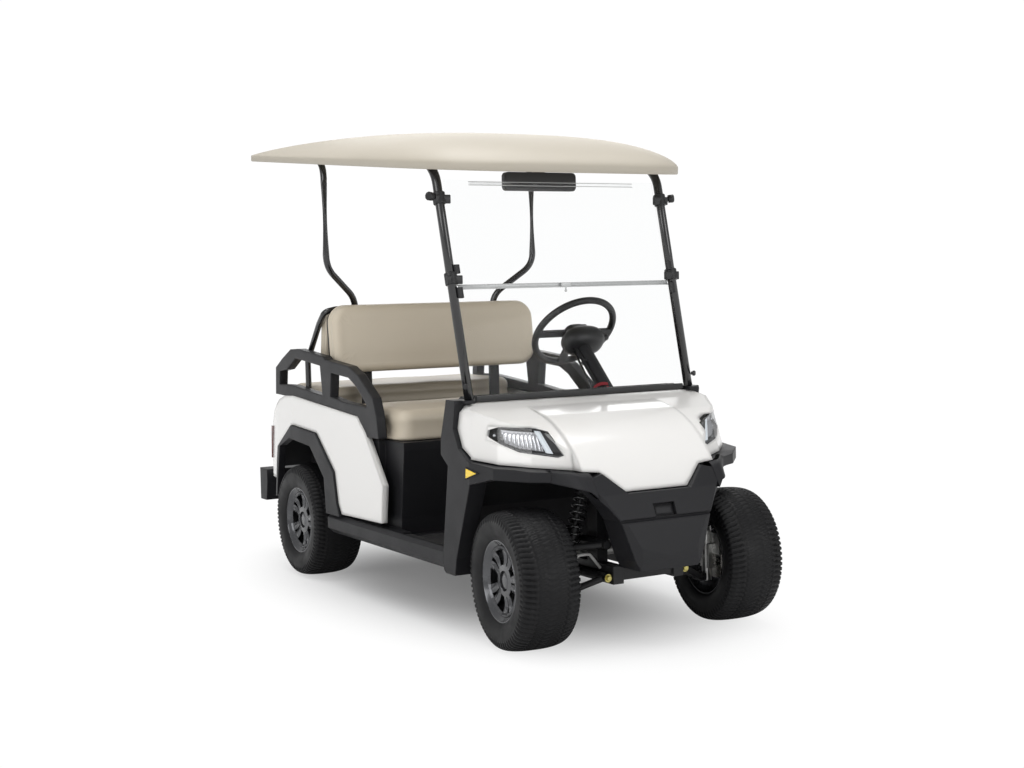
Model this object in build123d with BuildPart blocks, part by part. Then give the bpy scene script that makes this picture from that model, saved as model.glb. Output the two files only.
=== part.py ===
"""Four-seat electric golf cart, two seats facing forward and two facing back.

Millimetres. +X is forward, +Y is the driver's left, +Z is up, and the cart stands on Z = 0
with the middle of its length and width at the origin.
"""
from build123d import *
from math import atan2, cos, hypot, radians, sin
import os

os.makedirs("parts", exist_ok=True)

# ---------------------------------------------------------------- driving dimensions
WHEELBASE = 1660.0
REAR_AXLE_X = -634.0
FRONT_AXLE_X = REAR_AXLE_X + WHEELBASE
FRONT_TRACK = 803.0            # tyre middle to tyre middle
REAR_TRACK = 835.0
BODY_HALF = 505.0              # side of the body from the middle plane
SILL_BOTTOM_Z = 217.0
SILL_TOP_Z = 292.0
DASH_Z = 800.0                 # top of the dash and of the front pillars
GAP = 0.3                      # seat of one rigid piece beside another

# wheels
TYRE_R = 230.0
TYRE_W = 207.0
BEAD_R = 138.0                 # where the tyre sits on the rim
RIM_W = 178.0
RIM_LIP = 12.0
SPOKES = 5
HUB_R = 46.0
DISC_R = 92.0
AXLE_Z = TYRE_R
STEER_REST = -5.5              # the front wheels stand turned a little to the right

# frame
RAIL_Y = 225.0
RAIL_W = 50.0
RAIL_H = 60.0
RAIL_Z = 230.0                 # middle of the main rails
NOSE_RAIL_Y = 120.0            # the rails draw in between the front wheels
NOSE_RAIL_W = 40.0
KICK_Z = 372.0                 # middle of the rails over the rear axle
BUMPER_REAR_X = 1150.0
NOSE_END_X = BUMPER_REAR_X - GAP
TAIL_END_X = -1097.0


def save(part, node):
    """Label a finished piece and write it as its own STEP file."""
    part.label = node
    export_step(part, f"parts/{node}.step")


def side_plane(y):
    """A sketch plane on the right side, y from the middle, drawn as (x, z) and growing outwards."""
    return Plane(origin=(0, -y, 0), x_dir=(1, 0, 0), z_dir=(0, -1, 0))


def slab(points, inner, outer):
    """A right-hand piece: an outline of (x, z) points, from inner to outer off the middle plane."""
    with BuildPart() as piece:
        with BuildSketch(side_plane(inner)):
            with BuildLine():
                Polyline(*points, close=True)
            make_face()
        extrude(amount=outer - inner)
    return piece.part


def tube(points, bend, radius, wall=0):
    """A round tube through the points, with the given bend radius at each corner."""
    with BuildPart() as piece:
        with BuildLine() as run:
            if len(points) > 2:
                FilletPolyline(*points, radius=bend)
            else:
                Line(*points)
        with BuildSketch(Plane(origin=run.line @ 0, z_dir=run.line % 0)):
            Circle(radius)
            if wall:
                Circle(radius - wall, mode=Mode.SUBTRACT)
        sweep(path=run.line)
    return piece.part


# ---------------------------------------------------------------- frame and floor
# Two welded box rails: low amidships, kicked up over the rear axle, drawn in at the nose.
KICK_FROM_X = -305.0
KICK_TO_X = -400.0
NECK_FROM_X = 560.0
NECK_TO_X = 700.0
CROSS_X = (-1070.0, -440.0, 100.0, 530.0, 1120.0)
TOWER_X = FRONT_AXLE_X
TOWER_TOP_Z = 560.0
TOWER_W = 60.0

with BuildPart() as chassis_frame:
    # main rail: (x, z) of its middle line, swept as a slab of the rail's width
    half = RAIL_H / 2
    add(slab([(TAIL_END_X, KICK_Z - half), (KICK_TO_X, KICK_Z - half), (KICK_FROM_X, RAIL_Z - half),
          (NECK_FROM_X, RAIL_Z - half), (NECK_FROM_X, RAIL_Z + half), (KICK_FROM_X + 20, RAIL_Z + half),
          (KICK_TO_X + 20, KICK_Z + half), (TAIL_END_X, KICK_Z + half)],
         RAIL_Y - RAIL_W / 2, RAIL_Y + RAIL_W / 2))
    # neck: the rail draws in to the nose rails
    with BuildSketch(Plane.XY.offset(RAIL_Z - half)):
        with BuildLine():
            Polyline((NECK_FROM_X - 1, -RAIL_Y - RAIL_W / 2), (NECK_TO_X, -NOSE_RAIL_Y - NOSE_RAIL_W / 2),
                     (NOSE_END_X, -NOSE_RAIL_Y - NOSE_RAIL_W / 2),
                     (NOSE_END_X, -NOSE_RAIL_Y + NOSE_RAIL_W / 2),
                     (NECK_TO_X - 20, -NOSE_RAIL_Y + NOSE_RAIL_W / 2),
                     (NECK_FROM_X - 1, -RAIL_Y + RAIL_W / 2),
                     close=True)
        make_face()
    extrude(amount=RAIL_H)
    # shock tower beside each front wheel, standing on the nose rail
    with BuildSketch(Plane.XY.offset(RAIL_Z)):
        with Locations((TOWER_X, -NOSE_RAIL_Y)):
            Rectangle(TOWER_W, NOSE_RAIL_W)
    extrude(amount=TOWER_TOP_Z - RAIL_Z)
    mirror(about=Plane.XZ)
    with BuildSketch(Plane.XY.offset(TOWER_TOP_Z - 24)):
        with Locations((TOWER_X, 0)):
            Rectangle(TOWER_W, 2 * NOSE_RAIL_Y)
    extrude(amount=24)
    for x in CROSS_X:
        rail_z = KICK_Z if x < KICK_TO_X else RAIL_Z
        reach = NOSE_RAIL_Y if x > NECK_TO_X else RAIL_Y
        with BuildSketch(Plane.XY.offset(rail_z - 20)):
            with Locations((x, 0)):
                Rectangle(44, 2 * reach)
        extrude(amount=40)
save(chassis_frame.part, "chassis_frame")

# The floor is one moulding: a flat tray between the sills that turns up to the dash as a toe board.
FLOOR_T = 10.0
FLOOR_HALF = 438.0
FLOOR_REAR_X = 200.0
TOE_X = 560.0
TOE_TOP_X = 712.0
TOE_TOP_Z = 430.0

with BuildPart() as floor_pan:
    t = FLOOR_T
    rail_top = RAIL_Z + RAIL_H / 2
    add(slab([(FLOOR_REAR_X, rail_top + GAP), (TOE_X, rail_top + GAP), (TOE_TOP_X, TOE_TOP_Z),
          (TOE_TOP_X, DASH_Z - 110), (TOE_TOP_X - t, DASH_Z - 110), (TOE_TOP_X - t, TOE_TOP_Z + 3),
          (TOE_X - 4, rail_top + t), (FLOOR_REAR_X, rail_top + t)], 0, FLOOR_HALF))
    mirror(about=Plane.XZ)
save(floor_pan.part, "floor_pan")

# ---------------------------------------------------------------- sills
SILL_IN = BODY_HALF - 65
SILL_REAR_X = -336.0
SILL_FRONT_X = 656.0
TREAD_DROP = 8.0

with BuildPart() as sills:
    for sign in (-1, 1):
        with BuildSketch(Plane(origin=(SILL_REAR_X, 0, 0), x_dir=(0, 1, 0), z_dir=(1, 0, 0))):
            with BuildLine():
                Polyline((sign * SILL_IN, SILL_BOTTOM_Z), (sign * (BODY_HALF - 22), SILL_BOTTOM_Z),
                         (sign * BODY_HALF, SILL_BOTTOM_Z + 20), (sign * BODY_HALF, SILL_TOP_Z - 14),
                         (sign * (BODY_HALF - 16), SILL_TOP_Z), (sign * SILL_IN, SILL_TOP_Z), close=True)
            make_face()
        extrude(amount=SILL_FRONT_X - SILL_REAR_X)
    # the step in the middle of the footwell is let into the sill's top
    with Locations((FLOOR_REAR_X + 230, 0, SILL_TOP_Z)):
        Box(300, 2 * (BODY_HALF - 24), 2 * TREAD_DROP, mode=Mode.SUBTRACT)
save(sills.part, "sills")

# ---------------------------------------------------------------- front pillars with wheel visors
PILLAR_IN = BODY_HALF - 63
COWL_SEAM = ((766, DASH_Z - 12), (750, 706), (785, 644), (843, 617))   # x, z of the cowl's rear edge
SEAM_GAP = 3.0
VISOR_OUT = 8.0                # the visor stands this far proud of the cowl
VISOR_T = 34.0
# plan of the nose: x, y of the right half, from the pillar to the middle
NOSE_PLAN = ((690, 8 - BODY_HALF), (860, 5 - BODY_HALF), (985, 21 - BODY_HALF), (1075, 105 - BODY_HALF),
             (1159, -214), (1188, -120), (1197, 0))
# the way each of those points moves when the plan grows
NOSE_OUTWARD = ((0, -1), (0, -1), (0.9, -0.9), (0.9, -0.9), (1, 0), (1, 0), (1, 0))
# the cowl's lower edge seen from the front: y, z
V_EDGE = ((-BODY_HALF - 15, 617), (53 - BODY_HALF, 600), (-196, 574), (-123, 509), (0, 509))


def nose_plan(offset, plan=NOSE_PLAN):
    """A plan outline of the nose, closed across the middle, moved outwards by an offset."""
    side = [(x + offset * way_x, y + offset * way_y) for (x, y), (way_x, way_y) in zip(plan, NOSE_OUTWARD)]
    other = [(x, -y) for x, y in reversed(side[:-1])]
    Polyline(*side, *other, close=True)


with BuildPart() as visor:
    # the visor follows the nose's plan as a band under the cowl, out to the bumper
    with BuildSketch(Plane.XY.offset(500)):
        with BuildLine():
            nose_plan(VISOR_OUT)
        make_face()
        with BuildLine():
            nose_plan(-VISOR_T)
        make_face(mode=Mode.SUBTRACT)
        with Locations((700, 0)):
            Rectangle(2 * (850 - 700), 1100, mode=Mode.SUBTRACT)
        Rectangle(2600, 2 * 262, mode=Mode.SUBTRACT)
    extrude(amount=140)
    with BuildSketch(Plane.XZ):
        with BuildLine():
            Polyline((850, 526), (980, 556), (1100, 548), (1230, 518), (1230, 560), (1159, 571),
                     (1040, 590), (850, 604), close=True)
        make_face()
    extrude(amount=600, both=True, mode=Mode.INTERSECT)

with BuildPart() as front_fenders:
    # pillar: from the sill up to the dash, its front edge cut to the wheel
    add(slab([(700, DASH_Z), (693, 778), (657, 669), (654, 612), (704, 577), (SILL_FRONT_X + GAP, 283),
          (SILL_FRONT_X + GAP, SILL_BOTTOM_Z), (672, 208), (738, 208), (750, 266), (856, 528), (860, 604),
          (843 - SEAM_GAP, 613 - SEAM_GAP), (785 - SEAM_GAP, 644 - SEAM_GAP), (750 - SEAM_GAP, 706),
          (766 - SEAM_GAP, DASH_Z - 12), (760, DASH_Z)], PILLAR_IN, BODY_HALF))
    # foot of the roof strut, over the cowl's rear corner
    add(slab([(740, DASH_Z - 11), (792, DASH_Z - 11), (792, DASH_Z - 2), (788, DASH_Z), (740, DASH_Z)],
             PILLAR_IN, PILLAR_IN + 40))
    mirror(about=Plane.XZ)
    add(visor.part)
save(front_fenders.part, "front_fenders")

# ---------------------------------------------------------------- cowl, dash and bumper
# The cowl is a shell: the nose's plan, its side profile and its front view, each cut from one block.
COWL_T = 7.0
COWL_REAR_X = 746.0
PANEL_RISE = 9.0


# The cowl's plan at its foot and at its top: its sides and corners draw in as they rise.
COWL_PLANS = (
    (400, ((690, 5 - BODY_HALF), (860, -1 - BODY_HALF), (995, 13 - BODY_HALF), (1086, 97 - BODY_HALF),
           (1165, -217), (1191, -120), (1197, 0))),
    (800, ((690, 15 - BODY_HALF), (835, 27 - BODY_HALF), (922, 80 - BODY_HALF), (1000, 160 - BODY_HALF),
           (1120, -190), (1170, -110), (1185, 0))),
)


def nose_block(inset):
    """The nose as a solid, drawn in by an inset from its outer faces, open to the rear and below."""
    with BuildPart() as block:
        for z, plan in COWL_PLANS:
            with BuildSketch(Plane.XY.offset(z)):
                with BuildLine():
                    nose_plan(-inset, plan)
                make_face()
        loft(ruled=True)
        top = DASH_Z - 12 - inset
        side = BODY_HALF + 5
        with BuildSketch(Plane.XZ):
            with BuildLine():
                Line((600, 400), (600, top + 2))
                Line((600, top + 2), (760, top))
                Line((760, top), (940 - inset / 2, 738 - inset))
                ThreePointArc((940 - inset / 2, 738 - inset), (1085 - inset * 0.7, 655 - inset * 0.7),
                              (1197 - inset, 505))
                Line((1197 - inset, 505), (1197 - inset, 400))
                Line((1197 - inset, 400), (600, 400))
            make_face()
        extrude(amount=700, both=True, mode=Mode.INTERSECT)
        with BuildSketch(Plane.YZ.offset(600)):
            with BuildLine():
                Polyline((inset - side, 400), (inset - side, 640), (inset - side + 18, top - 34),
                         (inset - side + 48, top),
                         (0, top + 6), (side - 48 - inset, top), (side - 18 - inset, top - 34),
                         (side - inset, 640),
                         (side - inset, 400), close=True)
            make_face()
        extrude(amount=700, mode=Mode.INTERSECT)
    return block.part


nose_outer = nose_block(0)
nose_inner = nose_block(COWL_T)

# headlight outline seen from the front: y, z of the right lamp
LAMP_VIEW = ((9 - BODY_HALF, 700), (35 - BODY_HALF, 722), (155 - BODY_HALF, 716), (187 - BODY_HALF, 706),
             (222 - BODY_HALF, 628), (205 - BODY_HALF, 622), (105 - BODY_HALF, 640))
LAMP_DEEP = 26.0
LAMP_GAP = 1.5

with BuildPart() as lamp_prism:
    for sign in (-1, 1):
        with BuildSketch(Plane.YZ.offset(900)):
            with BuildLine():
                Polyline(*[(-sign * y, z) for y, z in LAMP_VIEW], close=True)
            make_face()
        extrude(amount=300)

pillar_cut = slab([(500, 900), (COWL_REAR_X + 20, 900), *COWL_SEAM, (843, 380), (500, 380)],
                  PILLAR_IN - SEAM_GAP, 600)

with BuildPart() as front_cowl:
    add(nose_outer)
    # raised middle panel between the two creases
    with BuildSketch(Plane.XZ):
        with BuildLine():
            Line((780, 600), (780, 779))
            Line((780, 779), (940, 738 + PANEL_RISE))
            ThreePointArc((940, 738 + PANEL_RISE), (1091, 662), (1201, 505))
            Line((1201, 505), (1100, 505))
            Line((1100, 505), (780, 600))
        make_face()
    extrude(amount=260, both=True)
    add(nose_inner, mode=Mode.SUBTRACT)
    add(lamp_prism.part, mode=Mode.SUBTRACT)
    # lower edge: the V seen from the front
    with BuildSketch(Plane.YZ.offset(600)):
        with BuildLine():
            Polyline((-600, 380), (-600, 617), *V_EDGE, *[(-y, z) for y, z in reversed(V_EDGE[:-1])],
                     (600, 617), (600, 380), close=True)
        make_face()
    extrude(amount=800, mode=Mode.SUBTRACT)
    # rear edge: straight behind the dash, and the seam with the pillars at each side
    with BuildSketch(Plane.XZ):
        with BuildLine():
            Polyline((500, 900), (COWL_REAR_X, 900), (COWL_REAR_X, 380), (500, 380), close=True)
        make_face()
    extrude(amount=700, both=True, mode=Mode.SUBTRACT)
    for outward in (0, 1):
        add(pillar_cut if outward == 0 else mirror(pillar_cut, about=Plane.XZ, mode=Mode.PRIVATE),
            mode=Mode.SUBTRACT)
save(front_cowl.part, "front_cowl")

# Each headlight is a block let into the cowl, its lens flush with the cowl's face.
with BuildPart() as headlights:
    add(nose_outer)
    with BuildSketch(Plane.YZ.offset(900)):
        for sign in (-1, 1):
            with BuildLine():
                Polyline(*[(-sign * y, z) for y, z in LAMP_VIEW], close=True)
            make_face()
            offset(amount=-LAMP_GAP, mode=Mode.REPLACE)
    extrude(amount=300, mode=Mode.INTERSECT)
    add(nose_block(LAMP_DEEP), mode=Mode.SUBTRACT)
save(headlights.part, "headlights")

# The dash closes the cowl's rear edge and carries the windshield's foot and the column.
DASH_REAR_X = 640.0
DASH_HALF = PILLAR_IN - GAP
with BuildPart() as dash:
    add(slab([(DASH_REAR_X, 655), (DASH_REAR_X + 8, 786), (690, DASH_Z + 8), (COWL_REAR_X - GAP, DASH_Z - 6),
              (COWL_REAR_X - GAP, DASH_Z - 34), (TOE_TOP_X + GAP, DASH_Z - 50),
              (TOE_TOP_X + GAP, DASH_Z - 110 + GAP),
              (TOE_TOP_X - FLOOR_T - 20, DASH_Z - 110 + GAP), (DASH_REAR_X + 14, 655)], 0, DASH_HALF))
    mirror(about=Plane.XZ)
save(dash.part, "dash")

# The bumper fills the V of the cowl, then narrows to a skid box below a groove.
GROOVE_Z = 420.0
BUMPER_TOP_DROP = 4.0
BADGE_W = 84.0
BADGE_H = 44.0
# front view of the right half: y, z
BUMPER_VIEW = ((0, 509), (-123, 509), (-196, 574), (-259, 556), (-259, 520), (-206, 462), (-176, GROOVE_Z),
               (-132, 290), (-112, 256), (0, 256))
with BuildPart() as front_bumper:
    d = BUMPER_TOP_DROP
    with BuildSketch(Plane.YZ.offset(BUMPER_REAR_X - 60)):
        with BuildLine():
            right = [(y, z - d if z > 505 and abs(y) < 200 else z) for y, z in BUMPER_VIEW]
            Polyline(*right, *[(-y, z) for y, z in reversed(right[1:-1])], close=True)
        make_face()
    extrude(amount=260)
    with BuildSketch(Plane.XZ):
        with BuildLine():
            Polyline((1128, 600), (1128, 520), (BUMPER_REAR_X, 500), (BUMPER_REAR_X, 250), (1268, 250),
                     (1281, 300),
                     (1262, GROOVE_Z - 6), (1250, GROOVE_Z), (1256, GROOVE_Z + 8), (1222, 506), (1176, 578),
                     (1170, 600), close=True)
        make_face()
    extrude(amount=300, both=True, mode=Mode.INTERSECT)
    with BuildSketch(Plane.XY.offset(200)):
        with BuildLine():
            Polyline((1100, -270), (1200, -262), (1256, -176), (1276, -110), (1281, 0), (1276, 110),
                     (1256, 176), (1200, 262), (1100, 270), close=True)
        make_face()
    extrude(amount=420, mode=Mode.INTERSECT)
    # bare place for a badge, let into the front face
    with BuildSketch(Plane(origin=(1281, 0, 462), x_dir=(0, 1, 0), z_dir=(1, 0, 0.42))):
        Rectangle(BADGE_W, BADGE_H)
    extrude(amount=-52, mode=Mode.SUBTRACT)
save(front_bumper.part, "front_bumper")

# Triangular reflectors on the pillars, face forward and out.
with BuildPart() as side_reflectors:
    with BuildSketch(side_plane(BODY_HALF + GAP)):
        with BuildLine():
            Polyline((818, 592), (850, 578), (836, 552), close=True)
        make_face()
    extrude(amount=4)
    mirror(about=Plane.XZ)
save(side_reflectors.part, "side_reflectors")

# ---------------------------------------------------------------- rear body
PANEL_T = 24.0
# plan of the rear body's right half: x, y
TAIL_PLAN = ((240, 7 - BODY_HALF), (-700, 7 - BODY_HALF), (-900, 21 - BODY_HALF), (-1020, 43 - BODY_HALF),
             (-1110, 80 - BODY_HALF))
ARCH_OUTER = ((-939, 296), (-882, 515), (-697, 617), (-443, 601), (-271, 461), (-244, 340),
              (-220, SILL_TOP_Z + GAP))
ARCH_INNER = ((-349, SILL_TOP_Z + GAP), (-363, 432), (-498, 546), (-719, 563), (-853, 518), (-910, 303))
PANEL_TOP = ((-1095, 372), (-1029, 557), (-952, 663), (-860, 716), (-787, 735), (-688, 740), (-53, 694),
             (18, 637), (168, 453), (150, 312), (-212, SILL_TOP_Z + SEAM_GAP + 8))


def tail_ring(outer, inner):
    """The plan band of the right rear body between two insets from its outer face."""
    with BuildSketch(Plane.XY.offset(150)) as band:
        with BuildLine():
            Polyline(*[(x, y + outer) for x, y in TAIL_PLAN],
                     *[(x, y + inner) for x, y in reversed(TAIL_PLAN)], close=True)
        make_face()
    return band.sketch


with BuildPart() as rear_panels:
    add(slab([*PANEL_TOP, *[(x + (SEAM_GAP if x > -500 else -SEAM_GAP), z + SEAM_GAP)
                            for x, z in reversed(ARCH_OUTER[1:-1])], (-928, 372)], 380, BODY_HALF + 15))
    extrude(tail_ring(0, PANEL_T), amount=700, mode=Mode.INTERSECT)
    mirror(about=Plane.XZ)
save(rear_panels.part, "rear_panels")

ARCH_OUT = 8.0
ARCH_IN = 22.0
with BuildPart() as rear_arches:
    add(slab([*ARCH_OUTER, *ARCH_INNER], 400, BODY_HALF + 35))
    extrude(tail_ring(-ARCH_OUT, ARCH_IN), amount=700, mode=Mode.INTERSECT)
    mirror(about=Plane.XZ)
save(rear_arches.part, "rear_arches")

# Seat base: an open-bottomed moulded box over the battery, wider above the sills.
BASE_REAR_X = -282.0
BASE_FRONT_X = 196.0
BASE_LEAN = 34.0
BASE_TOP_Z = 612.0
BASE_T = 10.0
BASE_HALF = BODY_HALF - 39
RAIL_TOP_Z = RAIL_Z + RAIL_H / 2

STEP_X = 76.0                  # the wide upper part ends here, beside the footwell

with BuildPart() as seat_base:
    for inset, mode in ((0, Mode.ADD), (BASE_T, Mode.SUBTRACT)):
        top = BASE_TOP_Z - inset
        foot = RAIL_TOP_Z + GAP - inset
        front = BASE_FRONT_X - inset
        rear = BASE_REAR_X + inset
        narrow = [(rear, top), (rear, foot), (front, foot), (front, 330), (front + BASE_LEAN, top - 30),
                  (front + BASE_LEAN, top)]
        ledge = SILL_TOP_Z + GAP + inset
        wide = [(rear, top), (rear, ledge), (STEP_X - inset, ledge), (STEP_X - inset, top)]
        for outline, half_w in ((narrow, FLOOR_HALF - inset), (wide, BASE_HALF - inset)):
            with BuildSketch(Plane.XZ):
                with BuildLine():
                    Polyline(*outline, close=True)
                make_face()
            extrude(amount=half_w, both=True, mode=mode)
save(seat_base.part, "seat_base")
# Rear body: top deck under the rear cushion, wheel housings and the sloping tail panel, one moulding.
DECK_Z = 700.0
DECK_T = 8.0
HOUSING_Y = 297.0
HOUSING_REAR_X = -985.0
KICK_TOP_Z = KICK_Z + RAIL_H / 2
TAIL_LIP_X = -880.0
TAIL_FOOT = (-1086, 404)

with BuildPart() as tail_fill:
    with BuildSketch(Plane.XY.offset(150)):
        with BuildLine():
            right = [(x, y + PANEL_T + GAP) for x, y in TAIL_PLAN if x < 0]
            Polyline((BASE_REAR_X - GAP, right[0][1]), *right, *[(x, -y) for x, y in reversed(right)],
                     (BASE_REAR_X - GAP, -right[0][1]), close=True)
        make_face()
    extrude(amount=700)

with BuildPart() as rear_body:
    add(slab([(BASE_REAR_X - GAP, DECK_Z), (TAIL_LIP_X, DECK_Z), (TAIL_FOOT[0], TAIL_FOOT[1]),
              (TAIL_FOOT[0] + DECK_T + 2, TAIL_FOOT[1]), (TAIL_LIP_X + 5, DECK_Z - DECK_T),
              (BASE_REAR_X - GAP - DECK_T, DECK_Z - DECK_T), (BASE_REAR_X - GAP - DECK_T, KICK_TOP_Z + GAP),
              (BASE_REAR_X - GAP, KICK_TOP_Z + GAP)], 0, BODY_HALF))
    # inner walls of the wheel housings, standing on the rails
    add(slab([(HOUSING_REAR_X, KICK_TOP_Z - 30), (TAIL_LIP_X - 20, DECK_Z - 30), (TAIL_LIP_X, DECK_Z - 2),
              (BASE_REAR_X - GAP - 2, DECK_Z - 2), (BASE_REAR_X - GAP - 2, KICK_TOP_Z - 30)],
             HOUSING_Y, HOUSING_Y + DECK_T))
    mirror(about=Plane.XZ)
    add(tail_fill.part, mode=Mode.INTERSECT)
    # webs between the rails and the deck
    for x in (-440, -960):
        with BuildSketch(Plane.XY.offset(KICK_TOP_Z + GAP)):
            with Locations((x, 0)):
                Rectangle(DECK_T, 2 * HOUSING_Y)
        extrude(amount=(DECK_Z - 2 if x > TAIL_LIP_X else 560) - KICK_TOP_Z - GAP)
save(rear_body.part, "rear_body")

# Rear bumper: a step for the rear-facing riders, with a round tow-pin hole through its bracket.
BUMPER_STEP = ((-1281, 300), (-1266, 366), (-1200, 392), (TAIL_END_X - GAP, 392), (TAIL_END_X - GAP, 335),
               (-1112, 256), (-1220, 256))
BUMPER_STEP_HALF = BODY_HALF - 43
BUMPER_PLAN = ((-1090, -BUMPER_STEP_HALF), (-1180, -BUMPER_STEP_HALF), (-1262, 75 - BODY_HALF),
               (-1281, 145 - BODY_HALF), (-1281, 0))
PIN_R = 8.0
PIN_X = -1238.0
PIN_CLEAR_R = 26.0
DRAWBAR_Z = 262.0
DRAWBAR_T = 14.0
with BuildPart() as rear_bumper:
    add(slab(BUMPER_STEP, 0, BUMPER_STEP_HALF + 20))
    mirror(about=Plane.XZ)
    with BuildSketch(Plane.XY.offset(200)):
        with BuildLine():
            Polyline(*BUMPER_PLAN, *[(x, -y) for x, y in reversed(BUMPER_PLAN[:-1])], close=True)
        make_face()
    extrude(amount=300, mode=Mode.INTERSECT)
    # hollow from below, walls 12 thick, and hollow towards the frame
    with BuildSketch(Plane.XY.offset(240)):
        with Locations((-1161, 0)):
            Rectangle(108, 2 * (BUMPER_STEP_HALF - 60))
        with Locations((PIN_X, 0)):
            Circle(PIN_CLEAR_R)
    extrude(amount=BUMPER_STEP[3][1] - 240 - 14, mode=Mode.SUBTRACT)
    # drawbar under the step
    with BuildSketch(Plane.XY.offset(DRAWBAR_Z)):
        with Locations((-1190, 0)):
            Rectangle(156, 70)
        with Locations((PIN_X, 0)):
            Circle(PIN_R, mode=Mode.SUBTRACT)
    extrude(amount=DRAWBAR_T)
save(rear_bumper.part, "rear_bumper")

# ---------------------------------------------------------------- armrests
ARM_IN = BODY_HALF - 49
ARM_OUT = BODY_HALF - 13
REST_REAR = ((-884, 738), (-876, 850), (-800, 890), (-706, 931), (-631, 935), (-369, 912), (-350, 900),
             (-350, 715.8),
             (-688, 740.3), (-787, 735.3))
REST_REAR_HOLE = ((-838, 780), (-830, 836), (-754, 846), (-656, 896), (-402, 874), (-384, 756), (-700, 783))
REST_FRONT = ((-350, 715.8), (-350, 900), (-125, 882), (-43, 853), (88, 771), (118, 700), (130, 622),
              (30.9, 622),
              (18.3, 637.3), (-52.8, 694.4))
REST_FRONT_HOLE = ((-306, 756), (-292, 850), (-129, 838), (-62, 810), (20, 752), (38, 734), (-180, 742))
with BuildPart() as armrests:
    for outline, hole in ((REST_REAR, REST_REAR_HOLE), (REST_FRONT, REST_FRONT_HOLE)):
        add(slab(outline, ARM_IN, ARM_OUT))
        add(slab(hole, ARM_IN - 5, ARM_OUT + 5), mode=Mode.SUBTRACT)
    mirror(about=Plane.XZ)
save(armrests.part, "armrests")

# ---------------------------------------------------------------- seats
# name, rear x, front x, half width, bottom z, top z, lean at the top, corner radius
SEATS = (
    ("seat_cushion", -262, 192, 430, BASE_TOP_Z + GAP, 742, 0, 60),
    ("seat_backrest", -385, -317, BODY_HALF - 53, 845, 1112, -32, 60),
    ("rear_cushion", -884, -474, BODY_HALF - 75, DECK_Z + GAP, 782, 0, 55),
    ("rear_backrest", -566, -498, BODY_HALF - 75, 840, 1104, 34, 55),
)
for node, rear, front, half_w, bottom, top, lean, corner in SEATS:
    with BuildPart() as cushion:
        upright = top - bottom > front - rear
        with BuildSketch(Plane.XZ):
            with BuildLine():
                Polyline((rear, bottom), (front, bottom), (front + lean, top), (rear + lean, top), close=True)
            make_face()
        extrude(amount=half_w, both=True)
        direction = Axis.X if upright else Axis.Z
        fillet(cushion.edges().filter_by(lambda e: abs(e.tangent_at(0.5).dot(direction.direction)) > 0.8),
               corner)
    save(cushion.part, node)

# Seat frame: two flat uprights between the backrests, tied across by rods.
UPRIGHT_Y = 294.0
UPRIGHT_W = 42.0
UPRIGHT_T = 14.0
ROD_R = 9.0
ROD_Z = (900.0, 1040.0)
back = dict((row[0], row) for row in SEATS)


def back_face(node, z, side):
    """Place of a backrest's rear (side 1) or front (side 2) face at a height."""
    row = back[node]
    return row[side] + row[6] * (z - row[4]) / (row[5] - row[4])


with BuildPart() as seat_frame:
    low, high = back["seat_backrest"][4] + 5, back["seat_backrest"][5] - 34
    front_low = back_face("seat_backrest", low, 1) - GAP
    front_high = back_face("seat_backrest", high, 1) - GAP
    upright = [(front_low - UPRIGHT_T, DECK_Z + GAP), (front_low - UPRIGHT_T, low),
               (front_high - UPRIGHT_T, high),
               (front_high, high), (front_low, low), (front_low, DECK_Z + GAP)]
    add(slab(upright, UPRIGHT_Y - UPRIGHT_W / 2, UPRIGHT_Y + UPRIGHT_W / 2))
    for z in ROD_Z:
        reach = [(back_face("rear_backrest", z + dz, 2) + GAP, z + dz) for dz in (-12, 12)]
        root = back_face("seat_backrest", z, 1) - 8
        add(slab([*reach, (root, z + 12), (root, z - 12)], UPRIGHT_Y - UPRIGHT_W / 2,
                 UPRIGHT_Y + UPRIGHT_W / 2))
    mirror(about=Plane.XZ)
    for z in ROD_Z:
        with BuildSketch(side_plane(-UPRIGHT_Y)):
            with Locations((back_face("seat_backrest", z, 1) - 20, z)):
                Circle(ROD_R)
        extrude(amount=2 * UPRIGHT_Y)
save(seat_frame.part, "seat_frame")
# ---------------------------------------------------------------- roof and its struts
# The roof leans forward a little. It is drawn in its own plane: u forward, v left, w up.
ROOF_REAR = (-1000, 1725)      # x, z of the rear lower edge
ROOF_FRONT = (838, 1556)
ROOF_HALF = 550.0
ROOF_RIM = 48.0
ROOF_RISE = 98.0               # the crown over the rim, across the cart
ROOF_CREST = 12.0              # how much higher the arch along the cart would reach
ROOF_T = 20.0
ROOF_REAR_R = 110.0
ROOF_FRONT_R = 270.0
ROOF_FRONT_HALF = 525.0        # half width at the front corners, which stand back from the bowed front edge
ROOF_BOW = 80.0
ROOF_WALL = 24.0               # the rim's wall round the hollow underside
roof_run = hypot(ROOF_FRONT[0] - ROOF_REAR[0], ROOF_FRONT[1] - ROOF_REAR[1])
roof_lean = atan2(ROOF_REAR[1] - ROOF_FRONT[1], ROOF_FRONT[0] - ROOF_REAR[0])
roof_base = Plane(origin=(ROOF_REAR[0], 0, ROOF_REAR[1]), x_dir=(cos(roof_lean), 0, -sin(roof_lean)),
                  z_dir=(sin(roof_lean), 0, cos(roof_lean)))


def roof_under_z(x):
    """Height of the roof's hollow underside over a place x."""
    return ROOF_REAR[1] - (x - ROOF_REAR[0]) * sin(roof_lean) / cos(roof_lean) + ROOF_T


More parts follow.
